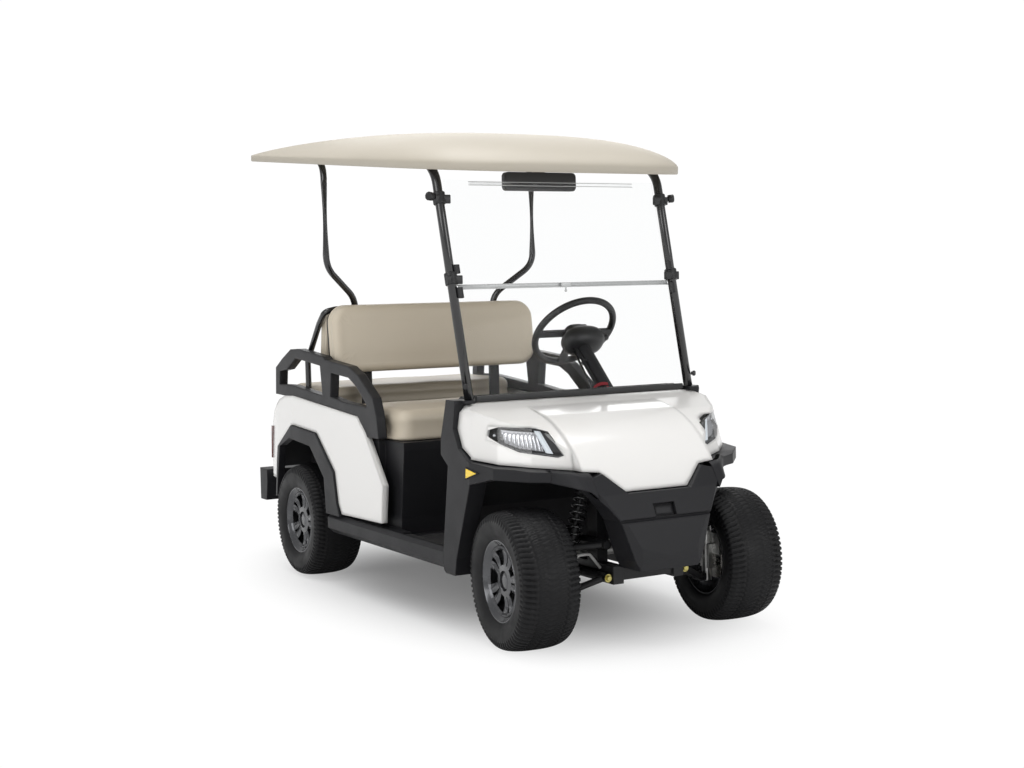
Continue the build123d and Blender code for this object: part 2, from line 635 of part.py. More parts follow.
def arch(span, rise, base):
    """The circle that stands on the rim at both ends of a span and rises over its middle."""
    radius = (span ** 2 / 4 + rise ** 2) / (2 * rise)
    with BuildSketch(base) as profile:
        with Locations((0, ROOF_RIM + rise - radius)):
            Circle(radius)
    return profile.sketch


with BuildSketch() as roof_plan:
    corner = roof_run - ROOF_BOW
    with BuildLine():
        Polyline((corner, -ROOF_FRONT_HALF), (0, -ROOF_HALF), (0, ROOF_HALF), (corner, ROOF_FRONT_HALF))
        ThreePointArc((corner, ROOF_FRONT_HALF), (roof_run, 0), (corner, -ROOF_FRONT_HALF))
    make_face()
    fillet(roof_plan.vertices().group_by(Axis.X)[0], ROOF_REAR_R)
    fillet(roof_plan.vertices().group_by(Axis.X)[-1], ROOF_FRONT_R)

with BuildPart() as roof:
    with BuildSketch(roof_base):
        add(roof_plan.sketch)
    extrude(amount=ROOF_RIM + ROOF_RISE + 10)
    middle = roof_base.from_local_coords(Vector(roof_run / 2, 0, 0))
    side_view = Plane(origin=middle, x_dir=roof_base.x_dir, z_dir=(0, -1, 0))
    end_view = Plane(origin=middle, x_dir=(0, 1, 0), z_dir=roof_base.x_dir)
    extrude(arch(roof_run, ROOF_RISE + ROOF_CREST, side_view), amount=ROOF_HALF + 5, both=True,
            mode=Mode.INTERSECT)
    extrude(arch(2 * ROOF_HALF, ROOF_RISE, end_view), amount=roof_run / 2 + 5, both=True, mode=Mode.INTERSECT)
    with BuildSketch(roof_base):
        add(roof_plan.sketch)
        offset(amount=-ROOF_WALL)
    extrude(amount=ROOF_T, mode=Mode.SUBTRACT)
save(roof.part, "roof")

STRUT_R = 16.0
STRUT_FOOT = (767, BODY_HALF - 53)        # x, y where the front strut stands on the dash corner
STRUT_TOP = (569, 460)
STRUT_TOP_Z = roof_under_z(STRUT_TOP[0] + STRUT_R) - GAP - 4.5
STRUT_FOOT_Z = DASH_Z + GAP + 4.2
REAR_STRUT_X = -354.0
REAR_STRUT_Y = 472.0
REAR_STRUT_R = 13.0
REAR_BEND_Z = 1262.0
REAR_BEND_R = 60.0
REAR_FOOT_X = -436.0
REAR_FOOT_Y = UPRIGHT_Y + UPRIGHT_W / 2 + REAR_STRUT_R + GAP
HOOP_R = 12.0
HOOP_Y = ARM_IN - 13                # the hoops rise between the rear cushion and the armrests

strut_lean = (STRUT_FOOT[0] - STRUT_TOP[0]) / (STRUT_TOP_Z - DASH_Z)   # mm back for each mm up


def strut_x(z):
    """Place of the front strut's middle line at a height."""
    return STRUT_FOOT[0] - (z - DASH_Z) * strut_lean


with BuildPart() as front_struts:
    for sign in (-1, 1):
        add(tube([(STRUT_FOOT[0], sign * STRUT_FOOT[1], STRUT_FOOT_Z),
                  (strut_x(STRUT_TOP_Z), sign * STRUT_TOP[1], STRUT_TOP_Z)], 0, STRUT_R))
save(front_struts.part, "front_struts")

with BuildPart() as rear_struts:
    for sign in (-1, 1):
        add(tube([(REAR_STRUT_X, sign * REAR_STRUT_Y, roof_under_z(REAR_STRUT_X + REAR_STRUT_R) - GAP),
                  (REAR_STRUT_X, sign * REAR_STRUT_Y, REAR_BEND_Z),
                  (REAR_FOOT_X, sign * REAR_FOOT_Y, 1138),
                  (REAR_FOOT_X, sign * REAR_FOOT_Y, 1000)], REAR_BEND_R, REAR_STRUT_R))
save(rear_struts.part, "rear_struts")

with BuildPart() as grab_hoop:
    for sign in (-1, 1):
        add(tube([(-640, sign * HOOP_Y, DECK_Z + GAP), (-640, sign * HOOP_Y, 885),
                  (-512, sign * HOOP_Y, 1036),
                  (-452, sign * HOOP_Y, 1086), (-446, sign * (HOOP_Y - 47), 1096),
                  (-446, sign * (REAR_FOOT_Y + REAR_STRUT_R + GAP), 1095)], 24, HOOP_R))
save(grab_hoop.part, "grab_hoop")

# ---------------------------------------------------------------- windshield and mirror
GLASS_T = 5.0
GLASS_HALF = 434.0
LOWER_Z = (812.0, 1168.0)      # foot and head of the lower pane
UPPER_Z = (1186.0, 1546.0)
RAIL_T = 12.0


def pane(z_range, thick, half, forward=0.0):
    """A leaning pane between two heights, as a slab about the struts' plane."""
    low, high = z_range
    return slab([(strut_x(low) + forward - thick / 2, low), (strut_x(low) + forward + thick / 2, low),
                 (strut_x(high) + forward + thick / 2, high), (strut_x(high) + forward - thick / 2, high)],
                 -half, half)


with BuildPart() as windshield:
    add(pane(LOWER_Z, GLASS_T, GLASS_HALF))
    add(pane(UPPER_Z, GLASS_T, GLASS_HALF))
save(windshield.part, "windshield")

# Rails between the panes and under the lower one, and the clamps that hold the panes to the struts.
CLAMP_Z = (1200.0, 1480.0)
with BuildPart() as windshield_fittings:
    add(pane((LOWER_Z[1] + GAP, UPPER_Z[0] - GAP), RAIL_T, GLASS_HALF))
    add(pane((DASH_Z - 8, LOWER_Z[0] - GAP), RAIL_T, GLASS_HALF - 8))
    add(pane((1526, 1540), 8, 340, forward=GLASS_T / 2 + 4 + GAP))
    for z in CLAMP_Z:
        for sign in (-1, 1):
            with BuildSketch(Plane.XY.offset(z - 16)):
                with Locations((strut_x(z) + 14, sign * 448)):
                    Rectangle(34, 60)
            extrude(amount=32)
    add(pane((LOWER_Z[0], UPPER_Z[1]), GLASS_T + 2 * GAP, GLASS_HALF + GAP), mode=Mode.SUBTRACT)
    add(pane((LOWER_Z[1] + GAP, UPPER_Z[0] - GAP), RAIL_T, GLASS_HALF))
    for sign in (-1, 1):
        add(tube([(STRUT_FOOT[0], sign * STRUT_FOOT[1], STRUT_FOOT_Z),
                  (strut_x(STRUT_TOP_Z), sign * STRUT_TOP[1], STRUT_TOP_Z)], 0, STRUT_R + GAP),
                  mode=Mode.SUBTRACT)
save(windshield_fittings.part, "windshield_fittings")

MIRROR_Y = (-175.0, 121.0)
MIRROR_Z = (1512.0, 1578.0)
with BuildPart() as mirror_unit:
    with BuildSketch(Plane.YZ.offset(strut_x(1530) - 52)):
        with Locations(((MIRROR_Y[0] + MIRROR_Y[1]) / 2, (MIRROR_Z[0] + MIRROR_Z[1]) / 2)):
            RectangleRounded(MIRROR_Y[1] - MIRROR_Y[0], MIRROR_Z[1] - MIRROR_Z[0], 16)
    extrude(amount=22)
    with BuildSketch(Plane.XY.offset(MIRROR_Z[1] - 6)):
        with Locations((strut_x(1530) - 41, sum(MIRROR_Y) / 2)):
            Rectangle(16, 40)
    extrude(amount=roof_under_z(strut_x(1530) - 33) - MIRROR_Z[1] + 6 - GAP)
save(mirror_unit.part, "mirror")
# ---------------------------------------------------------------- steering wheel, column and pedals
WHEEL_HUB = (366, 220, 1000)   # middle of the steering wheel's rim
WHEEL_LEAN = 43.5              # the column's slope below the level, forwards
RING_R = 160.0
RING_TUBE_R = 13.0
column_dir = (cos(radians(WHEEL_LEAN)), 0, -sin(radians(WHEEL_LEAN)))
wheel_plane = Plane(origin=WHEEL_HUB, x_dir=(0, 1, 0), z_dir=tuple(-c for c in column_dir))
COLUMN_R = 24.0
COLUMN_START = 62.0            # where the column begins below the rim's plane
SPOKE_ANGLES = (0.0, 180.0, 90.0)       # the last points down, towards the driver

with BuildPart() as steering_wheel:
    with BuildSketch(Plane(origin=wheel_plane.from_local_coords((RING_R, 0, 0)), x_dir=wheel_plane.x_dir,
                           z_dir=wheel_plane.y_dir)):
        Circle(RING_TUBE_R)
    revolve(axis=Axis(WHEEL_HUB, wheel_plane.z_dir), revolution_arc=360)
    with BuildSketch(wheel_plane.offset(-COLUMN_START + GAP)):
        Circle(30)
    extrude(amount=COLUMN_START - GAP - 34)
    with BuildSketch(wheel_plane.offset(-34)):
        RectangleRounded(104, 92, 24)
    extrude(amount=30, taper=12)
    for angle in SPOKE_ANGLES:
        with BuildSketch(wheel_plane.offset(-14)):
            with Locations(Location((0, 0, 0), (0, 0, angle)) * Location((RING_R / 2, 0, 0))):
                Rectangle(RING_R, 30)
        extrude(amount=10)
save(steering_wheel.part, "steering_wheel")

with BuildPart() as steering_column:
    with BuildSketch(wheel_plane.offset(-COLUMN_START)):
        Circle(COLUMN_R)
    extrude(amount=-370)
    with BuildSketch(wheel_plane.offset(-COLUMN_START - 20)):
        with Locations((-34, 0)):
            Circle(6)
    extrude(amount=-300)
    for reach in (-90, -310):
        with BuildSketch(wheel_plane.offset(-COLUMN_START + reach)):
            with Locations((-17, 0)):
                Rectangle(40, 22)
        extrude(amount=-16)
    # cut to the dash's rear face
    with BuildSketch(Plane.XZ):
        with BuildLine():
            Polyline((DASH_REAR_X - GAP, 655), (DASH_REAR_X + 8 - GAP, 786), (1100, 1300), (1100, 300),
                     (DASH_REAR_X - GAP, 300), close=True)
        make_face()
    extrude(amount=600, both=True, mode=Mode.SUBTRACT)
save(steering_column.part, "steering_column")

# Pedals hang on arms from the toe board: y, pad width, pad height.
PEDALS = ((130, 70, 84), (250, 96, 60))
with BuildPart() as pedals:
    for y, pad_w, pad_h in PEDALS:
        with BuildSketch(Plane.XZ.offset(-y)):
            with BuildLine():
                Polyline((TOE_TOP_X - FLOOR_T - GAP, 560), (TOE_TOP_X - FLOOR_T - GAP, 530), (648, 400),
                         (622, 372),
                         (614, 384), (632, 410), (674, 560), close=True)
            make_face()
        extrude(amount=7, both=True)
        with BuildSketch(Plane(origin=(616, y, 384), x_dir=(0, 1, 0), z_dir=(-0.78, 0, 0.62))):
            RectangleRounded(pad_w, pad_h, 10)
        extrude(amount=10)
save(pedals.part, "pedals")

# ---------------------------------------------------------------- front suspension and steering
KINGPIN_Y = FRONT_TRACK / 2 - 71.5
LOWER_BALL_Z = 160.0
UPPER_BALL_Z = 318.0
BALL_R = 17.0
ARM_TUBE_R = 11.0
ARM_SPREAD = 95.0              # half the distance between an arm's two feet on the frame
ARM_FOOT_Z = (222.0, 330.0)
ARM_CLEAR = 0.3
COIL_TOP = (156.3, 556)        # y, z of the coil-over's eyes
COIL_FOOT = (262, 196)
COIL_R = 29.0
DAMPER_R = 17.0
EYE_R = 15.0
RACK_X = FRONT_AXLE_X - 80.0
RACK_Z = RAIL_Z + RAIL_H / 2 + GAP + 22
RACK_R = 22.0
RACK_HALF = 150.0
RACK_BAR_R = 9.0
TIE_EYE_R = 14.0
TIE_GAP = 5.0
STEER_ARM = (-80.0, 20.0)      # from the kingpin to the tie rod's eye: back, inwards
STEER_ARM_T = 9.0
STUB_R = 15.0
STUB_OUT = 48.0                # the stubs end this far outboard of the tyre's middle


with BuildPart() as suspension_arms:
    for sign in (-1, 1):
        for ball_z, foot_z in ((LOWER_BALL_Z, ARM_FOOT_Z[0]), (UPPER_BALL_Z, ARM_FOOT_Z[1])):
            reach = KINGPIN_Y - BALL_R - ARM_CLEAR - 16
            for way in (-1, 1):
                add(tube([(FRONT_AXLE_X + way * 12, sign * reach, ball_z),
                          (FRONT_AXLE_X + way * ARM_SPREAD, sign * (NOSE_RAIL_Y + NOSE_RAIL_W / 2 + 14),
                           foot_z)],
                         0, ARM_TUBE_R))
            with BuildSketch(Plane.XY.offset(ball_z - 12)):
                with Locations((FRONT_AXLE_X, sign * (reach + 2))):
                    Rectangle(44, 28)
            extrude(amount=24)
            # pivot tube along the frame
            with BuildSketch(Plane.YZ.offset(FRONT_AXLE_X - ARM_SPREAD - 18)):
                with Locations((sign * (NOSE_RAIL_Y + NOSE_RAIL_W / 2 + 14 + GAP), foot_z)):
                    Circle(14)
            extrude(amount=2 * ARM_SPREAD + 36)
        # seat for the coil-over on the lower arm
        with BuildSketch(Plane.XY.offset(LOWER_BALL_Z + 8)):
            with Locations((FRONT_AXLE_X, sign * COIL_FOOT[0])):
                Rectangle(72, 34)
        extrude(amount=COIL_FOOT[1] - EYE_R - GAP - LOWER_BALL_Z - 8)
save(suspension_arms.part, "suspension_arms")

with BuildPart() as coilovers:
    for sign in (-1, 1):
        top = Vector(FRONT_AXLE_X, sign * COIL_TOP[0], COIL_TOP[1])
        foot = Vector(FRONT_AXLE_X, sign * COIL_FOOT[0], COIL_FOOT[1])
        along = (top - foot).normalized()
        length = (top - foot).length
        # radius, start and end along the leg: damper rod, damper body, spring with its cups
        for radius, start, end in ((8, 0, length), (DAMPER_R, 16, length * 0.5),
                                   (COIL_R, length * 0.26, length * 0.82)):
            with BuildSketch(Plane(origin=foot + along * start, z_dir=along)):
                Circle(radius)
            extrude(amount=end - start)
        for point in (top, foot):
            with BuildSketch(Plane.YZ.offset(FRONT_AXLE_X - 20)):
                with Locations((point.Y, point.Z)):
                    Circle(EYE_R)
            extrude(amount=40)
save(coilovers.part, "coilovers")

with BuildPart() as steering_rack:
    with BuildSketch(Plane(origin=(RACK_X, -RACK_HALF, RACK_Z), x_dir=(1, 0, 0), z_dir=(0, 1, 0))):
        Circle(RACK_R)
        Circle(RACK_BAR_R + GAP, mode=Mode.SUBTRACT)
    extrude(amount=2 * RACK_HALF)
save(steering_rack.part, "steering_rack")


def turned(x_off, y_off, sign):
    """A point off the kingpin (back-to-front, outwards) after the wheels' turn at rest."""
    turn = radians(STEER_REST)
    x, y = x_off, sign * y_off
    return (FRONT_AXLE_X + x * cos(turn) - y * sin(turn), sign * KINGPIN_Y + x * sin(turn) + y * cos(turn))


TIE_Z = RACK_Z
with BuildPart() as tie_rods:
    ends = [turned(STEER_ARM[0], -STEER_ARM[1], sign) for sign in (-1, 1)]
    with BuildSketch(Plane(origin=(RACK_X, ends[0][1], TIE_Z), x_dir=(1, 0, 0), z_dir=(0, 1, 0))):
        Circle(RACK_BAR_R)
    extrude(amount=ends[1][1] - ends[0][1])
    for x, y in ends:
        with BuildSketch(Plane.XY.offset(TIE_Z - RACK_BAR_R)):
            with Locations((RACK_X, y)):
                Circle(TIE_EYE_R)
        extrude(amount=2 * RACK_BAR_R)
save(tie_rods.part, "tie_rods")

for side, sign in (("right", -1), ("left", 1)):
    steer = Plane(origin=(FRONT_AXLE_X, sign * KINGPIN_Y, 0),
                  x_dir=(cos(radians(STEER_REST)), sin(radians(STEER_REST)), 0),
                  z_dir=(0, 0, 1))
    with BuildPart() as knuckle:
        with BuildSketch(steer.offset(LOWER_BALL_Z - 16)):
            Circle(BALL_R)
        extrude(amount=UPPER_BALL_Z - LOWER_BALL_Z + 32)
        with BuildSketch(steer.offset(AXLE_Z - 42)):
            with Locations((0, sign * 6)):
                Rectangle(56, 30)
        extrude(amount=84)
        # stub axle
        with BuildSketch(Plane(origin=steer.from_local_coords((0, 0, AXLE_Z)), x_dir=steer.x_dir,
                               z_dir=tuple(sign * c for c in steer.y_dir))):
            Circle(STUB_R)
        extrude(amount=FRONT_TRACK / 2 - KINGPIN_Y + STUB_OUT)
        # steering arm under the tie rod's eye
        with BuildSketch(steer.offset(TIE_Z - RACK_BAR_R - TIE_GAP - STEER_ARM_T)):
            with Locations((STEER_ARM[0] / 2, sign * -STEER_ARM[1] / 2)):
                Rectangle(-STEER_ARM[0] + 24, 26, rotation=sign * 14)
        extrude(amount=STEER_ARM_T)
        # caliper, inboard of the disc
        with BuildSketch(steer.offset(AXLE_Z + 10)):
            with Locations((40, sign * 24)):
                Rectangle(60, 34)
        extrude(amount=72)
    save(knuckle.part, f"knuckle_{side}")
# Brake hoses: from the nose rail over to each wheel's inner side.
HOSE_R = 5.0
with BuildPart() as brake_hoses:
    for sign in (-1, 1):
        add(tube([(1078, sign * (NOSE_RAIL_Y + NOSE_RAIL_W / 2 + 4.2), 246), (1078, sign * 186, 296),
                  (1077, sign * 228, 296), (1070, sign * 264, 256)], 16, HOSE_R))
save(brake_hoses.part, "brake_hoses")

# ---------------------------------------------------------------- rear axle, springs and battery
AXLE_TUBE_R = 32.0
AXLE_TUBE_END = REAR_TRACK / 2 - 34
DIFF_R = 88.0
DIFF_W = 128.0
MOTOR_R = 78.0
MOTOR_X = REAR_AXLE_X + 104.0
MOTOR_END_Y = 188.0
BACKING_R = 92.0
BORE_R = STUB_R + 0.06         # running fit of a hub on its stub
HUB_IN = 20.0                  # the hub starts this far inboard of the tyre's middle


def across(x, z, y_low, y_high):
    """A sketch plane across the cart at (x, z), and the length to extrude it."""
    return Plane(origin=(x, y_low, z), x_dir=(1, 0, 0), z_dir=(0, 1, 0)), y_high - y_low


with BuildPart() as rear_axle:
    # x, radius, low y, high y of each turned length
    for x, radius, low, high in ((REAR_AXLE_X, AXLE_TUBE_R, -AXLE_TUBE_END, AXLE_TUBE_END),
                                 (REAR_AXLE_X, STUB_R, -REAR_TRACK / 2 - STUB_OUT, REAR_TRACK / 2 + STUB_OUT),
                                 (REAR_AXLE_X, DIFF_R, -DIFF_W / 2, DIFF_W / 2),
                                 (MOTOR_X, MOTOR_R, -DIFF_W / 2 + 12, MOTOR_END_Y),
                                 (REAR_AXLE_X, BACKING_R, -AXLE_TUBE_END, -AXLE_TUBE_END + 10),
                                 (REAR_AXLE_X, BACKING_R, AXLE_TUBE_END - 10, AXLE_TUBE_END)):
        plane, run = across(x, AXLE_Z, low, high)
        with BuildSketch(plane):
            Circle(radius)
        extrude(amount=run)
save(rear_axle.part, "rear_axle")

LEAF_T = 22.0
LEAF_EYE_R = 16.0
LEAF_ENDS = (-880.0, -415.0)
DAMPER_X = -724.0
DAMPER_Y = 273.0
REAR_DAMPER_R = 16.0
with BuildPart() as rear_springs:
    seat_z = AXLE_Z + AXLE_TUBE_R + GAP
    eye_z = KICK_Z - RAIL_H / 2 - GAP - LEAF_EYE_R
    rear, front = LEAF_ENDS
    add(slab([(rear, eye_z - LEAF_T / 2), (REAR_AXLE_X - 60, seat_z), (REAR_AXLE_X + 60, seat_z),
              (front, eye_z - LEAF_T / 2), (front, eye_z + LEAF_T / 2), (REAR_AXLE_X + 60, seat_z + LEAF_T),
              (REAR_AXLE_X - 60, seat_z + LEAF_T), (rear, eye_z + LEAF_T / 2)],
             RAIL_Y - RAIL_W / 2, RAIL_Y + RAIL_W / 2))
    with BuildSketch(side_plane(RAIL_Y - RAIL_W / 2)):
        for x in LEAF_ENDS:
            with Locations((x, eye_z)):
                Circle(LEAF_EYE_R)
    extrude(amount=RAIL_W)
    # clamp plate that also carries the damper
    with BuildSketch(Plane.XY.offset(seat_z + LEAF_T - 2)):
        with Locations(((REAR_AXLE_X + 50 + DAMPER_X - 20) / 2, -(RAIL_Y - RAIL_W / 2 + DAMPER_Y + 14) / 2)):
            Rectangle(REAR_AXLE_X + 50 - DAMPER_X + 20, DAMPER_Y + 14 - RAIL_Y + RAIL_W / 2)
    extrude(amount=10)
    with BuildSketch(Plane.XY.offset(seat_z + LEAF_T + 6)):
        with Locations((DAMPER_X, -DAMPER_Y)):
            Circle(REAR_DAMPER_R)
    extrude(amount=220)
    with BuildSketch(side_plane(DAMPER_Y)):
        with Locations((DAMPER_X, seat_z + LEAF_T + 206)):
            Circle(9)
    extrude(amount=HOUSING_Y - GAP - DAMPER_Y)
    mirror(about=Plane.XZ)
save(rear_springs.part, "rear_springs")

BATTERY = (380, 520, 250)
with BuildPart() as battery_pack:
    with BuildSketch(Plane.XY.offset(RAIL_TOP_Z + GAP)):
        with Locations((-50, 0)):
            Rectangle(BATTERY[0], BATTERY[1])
    extrude(amount=BATTERY[2])
save(battery_pack.part, "battery_pack")

# Tail lights stand on the rear corners of the side panels.
TAIL_LAMP_Z = (452.0, 592.0)
with BuildPart() as tail_lights:
    add(slab([(-1058, TAIL_LAMP_Z[0]), (-1018, TAIL_LAMP_Z[0]), (-984, TAIL_LAMP_Z[1]),
              (-1010, TAIL_LAMP_Z[1])],
             BODY_HALF - 125, BODY_HALF - 15))
    extrude(tail_ring(-6, -GAP), amount=700, mode=Mode.INTERSECT)
    mirror(about=Plane.XZ)
save(tail_lights.part, "tail_lights")

# ---------------------------------------------------------------- wheels
# Drawn as (radius, outward) and turned about the stub. name, axle x, side, track, carried by a knuckle
WHEELS = (
    ("front_right", FRONT_AXLE_X, -1, FRONT_TRACK, True),
    ("front_left", FRONT_AXLE_X, 1, FRONT_TRACK, True),
    ("rear_right", REAR_AXLE_X, -1, REAR_TRACK, False),
    ("rear_left", REAR_AXLE_X, 1, REAR_TRACK, False),
)
HALF_W = TYRE_W / 2
BEAD_HALF = RIM_W / 2 - 7
TYRE_SECTION = ((BEAD_R + GAP, -BEAD_HALF + GAP), (BEAD_R + RIM_LIP + 1, -BEAD_HALF + GAP),
                (BEAD_R + RIM_LIP + 7, -RIM_W / 2 - 4), (172, -HALF_W + 2), (196, -HALF_W),
                (216, -HALF_W + 8), (228, -72),
                (TYRE_R, -40), (TYRE_R, 40), (228, 72), (216, HALF_W - 8), (196, HALF_W), (172, HALF_W - 2),
                (BEAD_R + RIM_LIP + 7, RIM_W / 2 + 4), (BEAD_R + RIM_LIP + 1, BEAD_HALF - GAP),
                (BEAD_R + GAP, BEAD_HALF - GAP))
RIM_HALF = RIM_W / 2
BARREL_R = BEAD_R - 8
RIM_SECTION = ((BARREL_R, -RIM_HALF), (BEAD_R + RIM_LIP, -RIM_HALF), (BEAD_R + RIM_LIP, -BEAD_HALF),
               (BEAD_R, -BEAD_HALF),
               (BEAD_R, BEAD_HALF), (BEAD_R + RIM_LIP, BEAD_HALF), (BEAD_R + RIM_LIP, RIM_HALF),
               (BARREL_R, RIM_HALF - 8))
FACE_SECTION = ((0, 46), (52, 46), (BARREL_R + 1, 62), (BARREL_R + 1, 76), (56, 62), (38, 64), (0, 64))
HUB_SECTION = ((BORE_R, -HUB_IN), (HUB_R, -HUB_IN), (HUB_R, 50), (0, 50), (0, STUB_OUT + GAP),
               (BORE_R, STUB_OUT + GAP))
DISC_SECTION = ((HUB_R - 2, -HUB_IN), (DISC_R, -HUB_IN), (DISC_R, -HUB_IN + 8), (HUB_R - 2, -HUB_IN + 8))
WINDOW_R = (60.0, 120.0)
# middle angle within a fifth of the wheel, half width at the inner and the outer end
WINDOWS = ((0.0, 3.0, 8.0), (36.0, 11.0, 27.0))

for name, axle_x, sign, track, steered in WHEELS:
    turn = radians(STEER_REST) if steered else 0.0
    middle = turned(0, track / 2 - KINGPIN_Y, sign) if steered else (axle_x, sign * track / 2)
    outward = (-sign * sin(turn), sign * cos(turn), 0)
    section = Plane(origin=(middle[0], middle[1], AXLE_Z), x_dir=(0, 0, 1),
                    z_dir=Vector(0, 0, 1).cross(Vector(*outward)))
    spin = Axis((middle[0], middle[1], AXLE_Z), outward)
    with BuildPart() as tyre:
        with BuildSketch(section):
            with BuildLine():
                Polyline(*TYRE_SECTION, close=True)
            make_face()
        revolve(axis=spin, revolution_arc=360)
    save(tyre.part, f"tyre_{name}")
    with BuildPart() as rim:
        for profile in (RIM_SECTION, FACE_SECTION, HUB_SECTION, DISC_SECTION):
            with BuildSketch(section):
                with BuildLine():
                    Polyline(*profile, close=True)
                make_face()
            revolve(axis=spin, revolution_arc=360)
        with BuildSketch(Plane(origin=(middle[0], middle[1], AXLE_Z), x_dir=(0, 0, 1),
                               z_dir=outward).offset(45)):
            low, high = WINDOW_R
            for fifth in range(SPOKES):
                for angle, inner_half, outer_half in WINDOWS:
                    with Locations(Location((0, 0, 0), (0, 0, fifth * 360 / SPOKES + angle))):
                        Polygon((low, -inner_half), (high, -outer_half), (high, outer_half),
                                (low, inner_half),
                                align=None)
        extrude(amount=40, mode=Mode.SUBTRACT)
        # the hub's bore stays open for the stub
        with BuildSketch(Plane(origin=(middle[0], middle[1], AXLE_Z), x_dir=(0, 0, 1),
                               z_dir=outward).offset(-60)):
            Circle(BORE_R)
        extrude(amount=60 + STUB_OUT + GAP, mode=Mode.SUBTRACT)
    save(rim.part, f"rim_{name}")
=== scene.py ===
"""A four-seat golf cart: white moulded body, charcoal plastic trim, beige vinyl seats and a beige roof.

The file follows the cart as it is put together: the studio and the camera first, then the frame and
the running gear, the wheels, the body, the seats, the roof and its glass, and last what the driver holds.
"""
import math

import bmesh
import bpy
import numpy as np
from mathutils import Matrix, Vector


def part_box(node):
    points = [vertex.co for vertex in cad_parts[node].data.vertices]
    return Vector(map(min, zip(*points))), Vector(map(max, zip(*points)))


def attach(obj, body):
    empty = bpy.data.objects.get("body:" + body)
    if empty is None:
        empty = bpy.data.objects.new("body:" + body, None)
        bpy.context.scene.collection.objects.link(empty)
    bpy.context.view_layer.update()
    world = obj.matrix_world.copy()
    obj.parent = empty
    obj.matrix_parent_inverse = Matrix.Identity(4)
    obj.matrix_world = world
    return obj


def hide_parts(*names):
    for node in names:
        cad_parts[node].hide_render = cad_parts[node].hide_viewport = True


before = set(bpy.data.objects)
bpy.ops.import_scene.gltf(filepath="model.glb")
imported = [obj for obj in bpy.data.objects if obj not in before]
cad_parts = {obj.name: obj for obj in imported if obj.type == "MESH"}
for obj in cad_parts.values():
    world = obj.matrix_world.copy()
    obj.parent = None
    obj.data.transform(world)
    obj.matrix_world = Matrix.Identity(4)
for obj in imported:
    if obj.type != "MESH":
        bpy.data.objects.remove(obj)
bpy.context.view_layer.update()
scene = bpy.context.scene

# -------- studio
# A white seamless sweep, one broad overhead softbox and three side boxes, as a car is photographed.
# The sweep is lit from behind further out, so it burns out to plain white. For the camera its white is cut
# back under the cart by a fixed fade drawn out along the cart: a painted shade over the shadow the cart
# really casts.
# The white starts nearer for the camera than for the light that the sweep throws on the cart.
FLOOR_HALF = 60.0
FLOOR_COLOUR = (0.8, 0.8, 0.8, 1)
SWEEP_WHITE, SWEEP_NEAR = 1.02, 0.13  # its brightness, and its share under the cart
# metres over which the painted shade under the cart fades, for the camera only; it is drawn out in x
SHADE_FROM, SHADE_TO, SHADE_LONG = 0.26, 0.92, 0.5
SWEEP_FROM, SWEEP_TO = 1.2, 3.2  # metres over which it takes over wholly
AIR, AIR_BEHIND = 0.5, 1.02  # light from all round, and the white wall that is seen
BOXES = (
    # name, place, aimed at, width, height, watts
    ("overhead", (0.2, -0.3, 4.6), (0.0, 0.0, 0.0), 4.2, 4.2, 150),
    ("right_front", (2.6, -5.2, 2.9), (0.2, 0.0, 0.7), 3.6, 2.6, 75),
    ("nose", (6.2, 1.9, 2.4), (0.9, 0.0, 0.8), 3.0, 2.2, 60),
    ("behind", (-5.0, 3.2, 3.0), (-0.4, 0.0, 0.9), 3.4, 2.4, 50),
)


def put(tree, node, sockets):
    """Set a node's input sockets by name or number: another node's output is linked, a number is kept."""
    for socket, value in sockets.items():
        if isinstance(value, bpy.types.NodeSocket):
            tree.links.new(value, node.inputs[socket])
        else:
            node.inputs[socket].default_value = value


def add(tree, kind, sockets, output=0, **settings):
    """Add a shader node with its settings and sockets, and give its output."""
    node = tree.nodes.new("ShaderNode" + kind)
    for setting, value in settings.items():
        setattr(node, setting, value)
    put(tree, node, sockets)
    return node.outputs[output]


floor_mesh = bpy.data.meshes.new("floor")
floor_mesh.from_pydata([(x, y, 0) for x, y in ((-FLOOR_HALF, -FLOOR_HALF), (FLOOR_HALF, -FLOOR_HALF),
    (FLOOR_HALF, FLOOR_HALF), (-FLOOR_HALF, FLOOR_HALF))], [], [(0, 1, 2, 3)])
floor = bpy.data.objects.new("floor", floor_mesh)
scene.collection.objects.link(floor)
floor_paint = bpy.data.materials.new("studio floor")
floor_paint.use_nodes = True
sweep = floor_paint.node_tree
sweep_place = add(sweep, "TexCoord", {}, "Object")
put(sweep, sweep.nodes["Principled BSDF"], {"Base Color": FLOOR_COLOUR, "Roughness": 0.8})


def fade(long_share, near, far, least):
    """A smoothstep from least to 1 over the distance off the origin, with x counted at long_share."""
    place = add(sweep, "VectorMath", {0: sweep_place, 1: (long_share, 1, 1)}, operation="MULTIPLY")
    distance = add(sweep, "VectorMath", {0: place}, "Value", operation="LENGTH")
    return add(sweep, "MapRange", {"Value": distance, "From Min": near, "From Max": far, "To Min": least},
        interpolation_type="SMOOTHSTEP")


# for the camera the sweep's white falls to SWEEP_NEAR under the cart: a painted shade over the floor's cast
# shadow
far_glow, painted_shade_glow = fade(1, SWEEP_FROM, SWEEP_TO, 0), fade(SHADE_LONG, SHADE_FROM, SHADE_TO, SWEEP_NEAR)
by_camera = add(sweep, "LightPath", {}, "Is Camera Ray")
burnt_in = add(sweep, "Mix", {"Factor": by_camera, "A": far_glow, "B": painted_shade_glow}, "Result")
glow = add(sweep, "Emission", {"Strength": SWEEP_WHITE})
paint_shade = sweep.nodes["Principled BSDF"].outputs["BSDF"]
burnt_out = add(sweep, "MixShader", {"Fac": burnt_in, 1: paint_shade, 2: glow})
put(sweep, sweep.nodes["Material Output"], {"Surface": burnt_out})
floor_mesh.materials.append(floor_paint)

